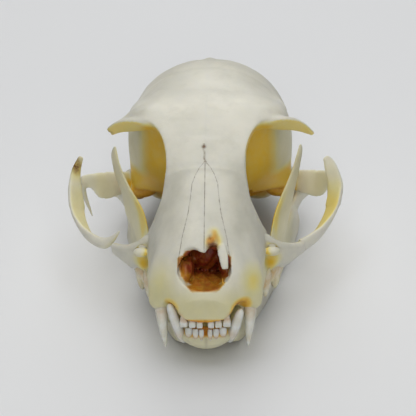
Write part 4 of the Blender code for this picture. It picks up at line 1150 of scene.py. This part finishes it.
def capped(rings):
    """Triangles over a stack of rings, with a middle point to close each end."""
    levels, sides, _ = rings.shape
    points = np.vstack([rings.reshape(-1, 3), rings[0].mean(0), rings[-1].mean(0)])
    low = (np.arange(levels - 1)[:, None] * sides + np.arange(sides)).ravel()
    right_of = (np.arange(levels - 1)[:, None] * sides + (np.arange(sides) + 1) % sides).ravel()
    j, k = np.arange(sides), (np.arange(sides) + 1) % sides
    last = (levels - 1) * sides
    faces = np.vstack([
        np.stack([low, right_of, right_of + sides], 1), np.stack([low, right_of + sides, low + sides], 1),
        np.stack([k, j, np.full(sides, levels * sides)], 1),
        np.stack([last + j, last + k, np.full(sides, levels * sides + 1)], 1),
    ])
    return points, faces


def facing_out(points, faces):
    """Turns the faces round if the volume that they enclose comes out negative."""
    a, b, c = (points[faces[:, i]] for i in range(3))
    return faces if np.einsum("ij,ij->", a, np.cross(b, c)) > 0 else faces[:, ::-1]


# Tooth enamel over dentine: hard, clear and glossy, a cold bluish white where it is thick and fresh,
# yellow where the dentine shows through, and orange brown where old plaque has stained the neck.
def enamel_look(name, ivory, dentine):
    look = bpy.data.materials.new(name)
    look.use_nodes = True
    tree = look.node_tree
    where = node(tree, "TexCoord")["Object"]
    clouds = node(tree, "TexNoise", {"Vector": where, "Scale": 1000 / 2.2, "Detail": 3.0})["Fac"]
    clouds = node(tree, "MapRange", {"Value": clouds, "From Min": 0.35, "From Max": 0.7})["Result"]
    colour = node(tree, "Mix", {0: clouds, 6: linear(ivory), 7: linear(dentine)}, data_type="RGBA")[2]
    plaque = (("amber", "#c9921c", 0.7, 0.55, 1.0), ("rust", "#8a4a12", 0.5, 0.6, 1.0))
    colour = tinted(tree, where, colour, plaque, 3.0, 0.6)
    fine = node(tree, "TexNoise", {"Vector": where, "Scale": 1000 / 0.5, "Detail": 3.0})["Fac"]
    bump = node(tree, "Bump", {"Strength": 0.15, "Distance": 0.00008, "Height": fine})["Normal"]
    wire(tree, tree.nodes["Principled BSDF"], {
        "Base Color": colour, "Roughness": 0.24, "IOR": 1.6, "Normal": bump,
        "Subsurface Weight": 0.5, "Subsurface Radius": (1.0, 0.85, 0.6), "Subsurface Scale": 0.001,
    })
    return look


cold_enamel = enamel_look("thick_tooth_enamel", "#e9ebe8", "#dcdbce")
warm_enamel = enamel_look("tooth_enamel_over_dentine", "#e8e3cb", "#d9cda0")
pale_enamel = enamel_look("clear_tooth_enamel", "#e6e7de", "#d9d6c2")


def tooth_piece(name, points, faces, side, neck, length, look, strength, rust=0.0):
    """A tooth's object. The amber of its neck fades over `length` of millimetres from the bone."""
    fade = np.abs(points[:, 2] - neck) / length
    tints = {"amber": strength * np.clip(1 - fade, 0, 1), "rust": rust * np.clip(1 - 2 * fade, 0, 1)}
    points = points * (side, 1, 1)
    obj = mesh_object(name, points, facing_out(points, faces), look, tints)
    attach(obj, "root")
    return obj


for kind, rows, neck, length, look in (
    ("upper_canine", UPPER_FANG_SHAPE, -0.4, 3.0, pale_enamel),
    ("lower_canine", LOWER_FANG_SHAPE, -6.6, 2.6, cold_enamel),
):
    for word, side in SIDES:
        taller = 1.5 if side < 0 and kind == "lower_canine" else 0.0
        shape = [(x, y, z + taller * np.clip((z + 8) / 8.5, 0, 1), *size) for x, y, z, *size in rows]
        body = tube(shape, groove=0.07)
        piece = tooth_piece(f"{kind}_tooth_{word}", *body, side, neck, length, look, 0.35)
        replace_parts(piece, f"{kind}_{word}")

# ============================================================ incisors
# Six small chisels above and six below, edge to edge, the outer ones the largest; dark plaque fills
# the gaps between them.

# from root to edge: how far back, and the shares of the width and the depth
CHISEL = ((0.5, 0.6, 0.7), (0.2, 0.78, 1.0), (0.0, 1.0, 0.9), (-0.03, 0.98, 0.5), (-0.05, 0.8, 0.2))
for level, zs, rows in (
    ("upper", (1.6, -0.7, -1.6, -2.6, -2.95),
     [(1.3, 1.1, 0.72, 0.7), (3.0, 1.3, 0.8, 0.75), (4.95, 1.6, 0.92, 0.85)]),
    ("lower", (-7.2, -6.2, -5.4, -4.5, -4.1),
     [(1.0, 2.3, 0.56, 0.75), (2.35, 2.6, 0.7, 0.8), (3.95, 3.2, 0.85, 0.9)]),
):
    for number, (x, y, wide, deep) in enumerate(rows, 1):
        shape = [
            (x, y + back, z, wide * across, deep * through_it)
            for z, (back, across, through_it) in zip(zs, CHISEL)
        ]
        for word, side in SIDES:
            body = tube(shape, 28, 2.8)
            tooth_piece(f"{level}_incisor_{number}_{word}", *body, side, zs[1], 1.0, cold_enamel, 0.6)

# ============================================================ cheek teeth
# Blades of enamel over dentine with cusps in a row, for shearing: four a side above and three below,
# set with their roots in the jaw's edge.


def crown(x, y, turn, half_length, half_width, base, sign, root, cusps):
    """A blade tooth. Rings of ellipses shrink across to a ridge; a ridge point's height is the
    greatest of the cusps' tents over it. A cusp is its place along the blade, height and spread."""
    sides = 56
    angle = np.linspace(0, 2 * math.pi, sides, endpoint=False)
    steps = np.concatenate([np.linspace(-1, 0, 5)[:-1], np.linspace(0, 1, 14)])[:, None]
    v = np.clip(steps, 0, 1)
    under = np.clip(-steps, 0, 1)
    across = half_width * (np.sqrt(np.clip(1 - v**1.5, 0, 1)) + 0.03) * (1 - 0.35 * under)
    along = half_length * (1 - 0.10 * v**2) * (1 - 0.22 * under)
    q = along * np.sin(angle)
    p = across * np.cos(angle)
    tents = [h * np.exp(-np.abs((q - at) / spread) ** 1.5) for at, h, spread in cusps]
    height = np.max(tents, axis=0)
    z = base + sign * (height * v**0.85 - root * under)
    swing = math.radians(turn)
    rings = np.stack([
        x + p * math.cos(swing) + q * math.sin(swing), y - p * math.sin(swing) + q * math.cos(swing), z,
    ], axis=2)
    points, faces = capped(rings)
    faces = faces[(faces < len(points) - 1).all(1)]
    last, quarter = (len(rings) - 1) * sides, sides // 4
    j = np.arange(-quarter, quarter)
    near, far = (j + 1) % sides, j % sides
    there, beyond = (sides // 2 - j - 1) % sides, (sides // 2 - j) % sides
    strip = np.vstack([np.stack([far, near, there], 1), np.stack([far, there, beyond], 1)]) + last
    flat = (strip[:, 0] == strip[:, 1]) | (strip[:, 1] == strip[:, 2]) | (strip[:, 0] == strip[:, 2])
    return points[:-1], np.vstack([faces, strip[~flat]])


CHEEK_TEETH = {
    "upper_premolar_2": (12.3, 12.6, 10, 1.1, 0.75, 0.3, -1, 1.6, [(0, 1.8, 0.9)]),
    "upper_premolar_3": (13.9, 18.3, 14, 3.4, 1.25, 0.3, -1, 2,
                         [(-0.6, 4.8, 1.8), (2.3, 2.6, 1.2), (-2.8, 1.4, 0.9)]),
    "upper_carnassial": (16.3, 25.4, 17, 5.2, 1.5, 0.3, -1, 2,
                         [(-0.8, 6.6, 2.1), (3.2, 4.9, 1.9), (-3.8, 3.2, 1.3)]),
    "upper_molar": (15.6, 31.6, 80, 1.9, 0.9, 0.3, -1, 1.6, [(0, 1.5, 1.8)]),
    "lower_premolar_3": (8.8, 16.3, 18, 3, 1.05, -5, 1, 2,
                         [(-0.4, 3.4, 1.7), (2.1, 1.7, 1), (-2.4, 1.2, 0.8)]),
    "lower_premolar_4": (10.6, 22.3, 19, 3.5, 1.15, -5, 1, 2,
                         [(-0.5, 4.1, 1.9), (2.4, 2.1, 1.1), (-2.8, 1.6, 0.9)]),
    "lower_carnassial": (12.7, 29, 19, 4.2, 1.25, -5, 1, 2, [(-1.9, 3.9, 2), (1.7, 4.4, 2.2)]),
}
for kind, shape in CHEEK_TEETH.items():
    for word, side in SIDES:
        tooth_piece(f"{kind}_{word}", *crown(*shape), side, shape[5], 2.6, warm_enamel, 0.5, rust=0.1)

# ============================================================ camera, floor and light
# The camera stands where the photo's did: 27 degrees over the tooth line, 0.4 m away.
CAMERA_HEIGHT, CAMERA_SIDE, CAMERA_ROLL = math.radians(27), math.radians(2.35), math.radians(-1.65)
CAMERA_DISTANCE, LOOK_AT = 405.0, np.array((0.0, 35.0, 10.6))
FOCAL_PIXELS, PHOTO_PIXELS = 1663.0, 416

back_way = np.array((
    math.sin(CAMERA_SIDE) * math.cos(CAMERA_HEIGHT),
    -math.cos(CAMERA_SIDE) * math.cos(CAMERA_HEIGHT),
    math.sin(CAMERA_HEIGHT),
))
forward = -back_way
right = np.cross(forward, (0, 0, 1))
right /= np.linalg.norm(right)
up = np.cross(right, forward)
rolled_right = right * math.cos(CAMERA_ROLL) + up * math.sin(CAMERA_ROLL)
rolled_up = -right * math.sin(CAMERA_ROLL) + up * math.cos(CAMERA_ROLL)
lens = bpy.data.cameras.new("camera")
lens.sensor_width = 36.0
lens.lens = FOCAL_PIXELS / PHOTO_PIXELS * lens.sensor_width
lens.clip_start, lens.clip_end = 0.01, 10
camera = shown("camera", lens)
eye = placed([LOOK_AT + back_way * CAMERA_DISTANCE])[0]
axes = np.array([placed([a])[0] - placed([(0, 0, 0)])[0] for a in (rolled_right, rolled_up, back_way)]) / MM
camera.matrix_world = Matrix.Translation(eye) @ Matrix(axes.T.tolist()).to_4x4()
bpy.context.scene.camera = camera

floor_mesh = bpy.data.meshes.new("floor")
FLOOR_REACH = 4.0
corners = [(x * FLOOR_REACH, y * FLOOR_REACH, 0) for x, y in ((-1, -1), (1, -1), (1, 1), (-1, 1))]
floor_mesh.from_pydata(corners, [], [(0, 1, 2, 3)])
floor_look = bpy.data.materials.new("white_paper_floor")
floor_look.use_nodes = True
floor_tree = floor_look.node_tree
wire(floor_tree, floor_tree.nodes["Principled BSDF"], {"Base Color": linear("#eaebec"), "Roughness": 0.9})
floor_mesh.materials.append(floor_look)
floor = shown("floor", floor_mesh)

world = bpy.data.worlds.new("studio")
bpy.context.scene.world = world
world.use_nodes = True
background = world.node_tree.nodes["Background"]
wire(world.node_tree, background, {"Color": linear("#f4f5f7"), "Strength": 0.02})

# three square soft lights, turned to the skull: place and size in metres, and watts
LIT_SPOT = Vector((0, -0.01, 0.02))
for name, place, size, watts in (
    ("overhead", (0.0, -0.01, 0.80), 0.8, 3.85),
    ("behind", (0.0, 0.61, 0.51), 0.5, 1.9),
    ("in_front", (0.05, -0.61, 0.51), 0.5, 1.9),
):
    lamp = bpy.data.lights.new(name, "AREA")
    lamp.size, lamp.energy = size, watts
    turn = (LIT_SPOT - Vector(place)).to_track_quat("-Z", "Y")
    shown(name, lamp).matrix_world = Matrix.Translation(place) @ turn.to_matrix().to_4x4()
bpy.context.scene.view_settings.view_transform = "Standard"
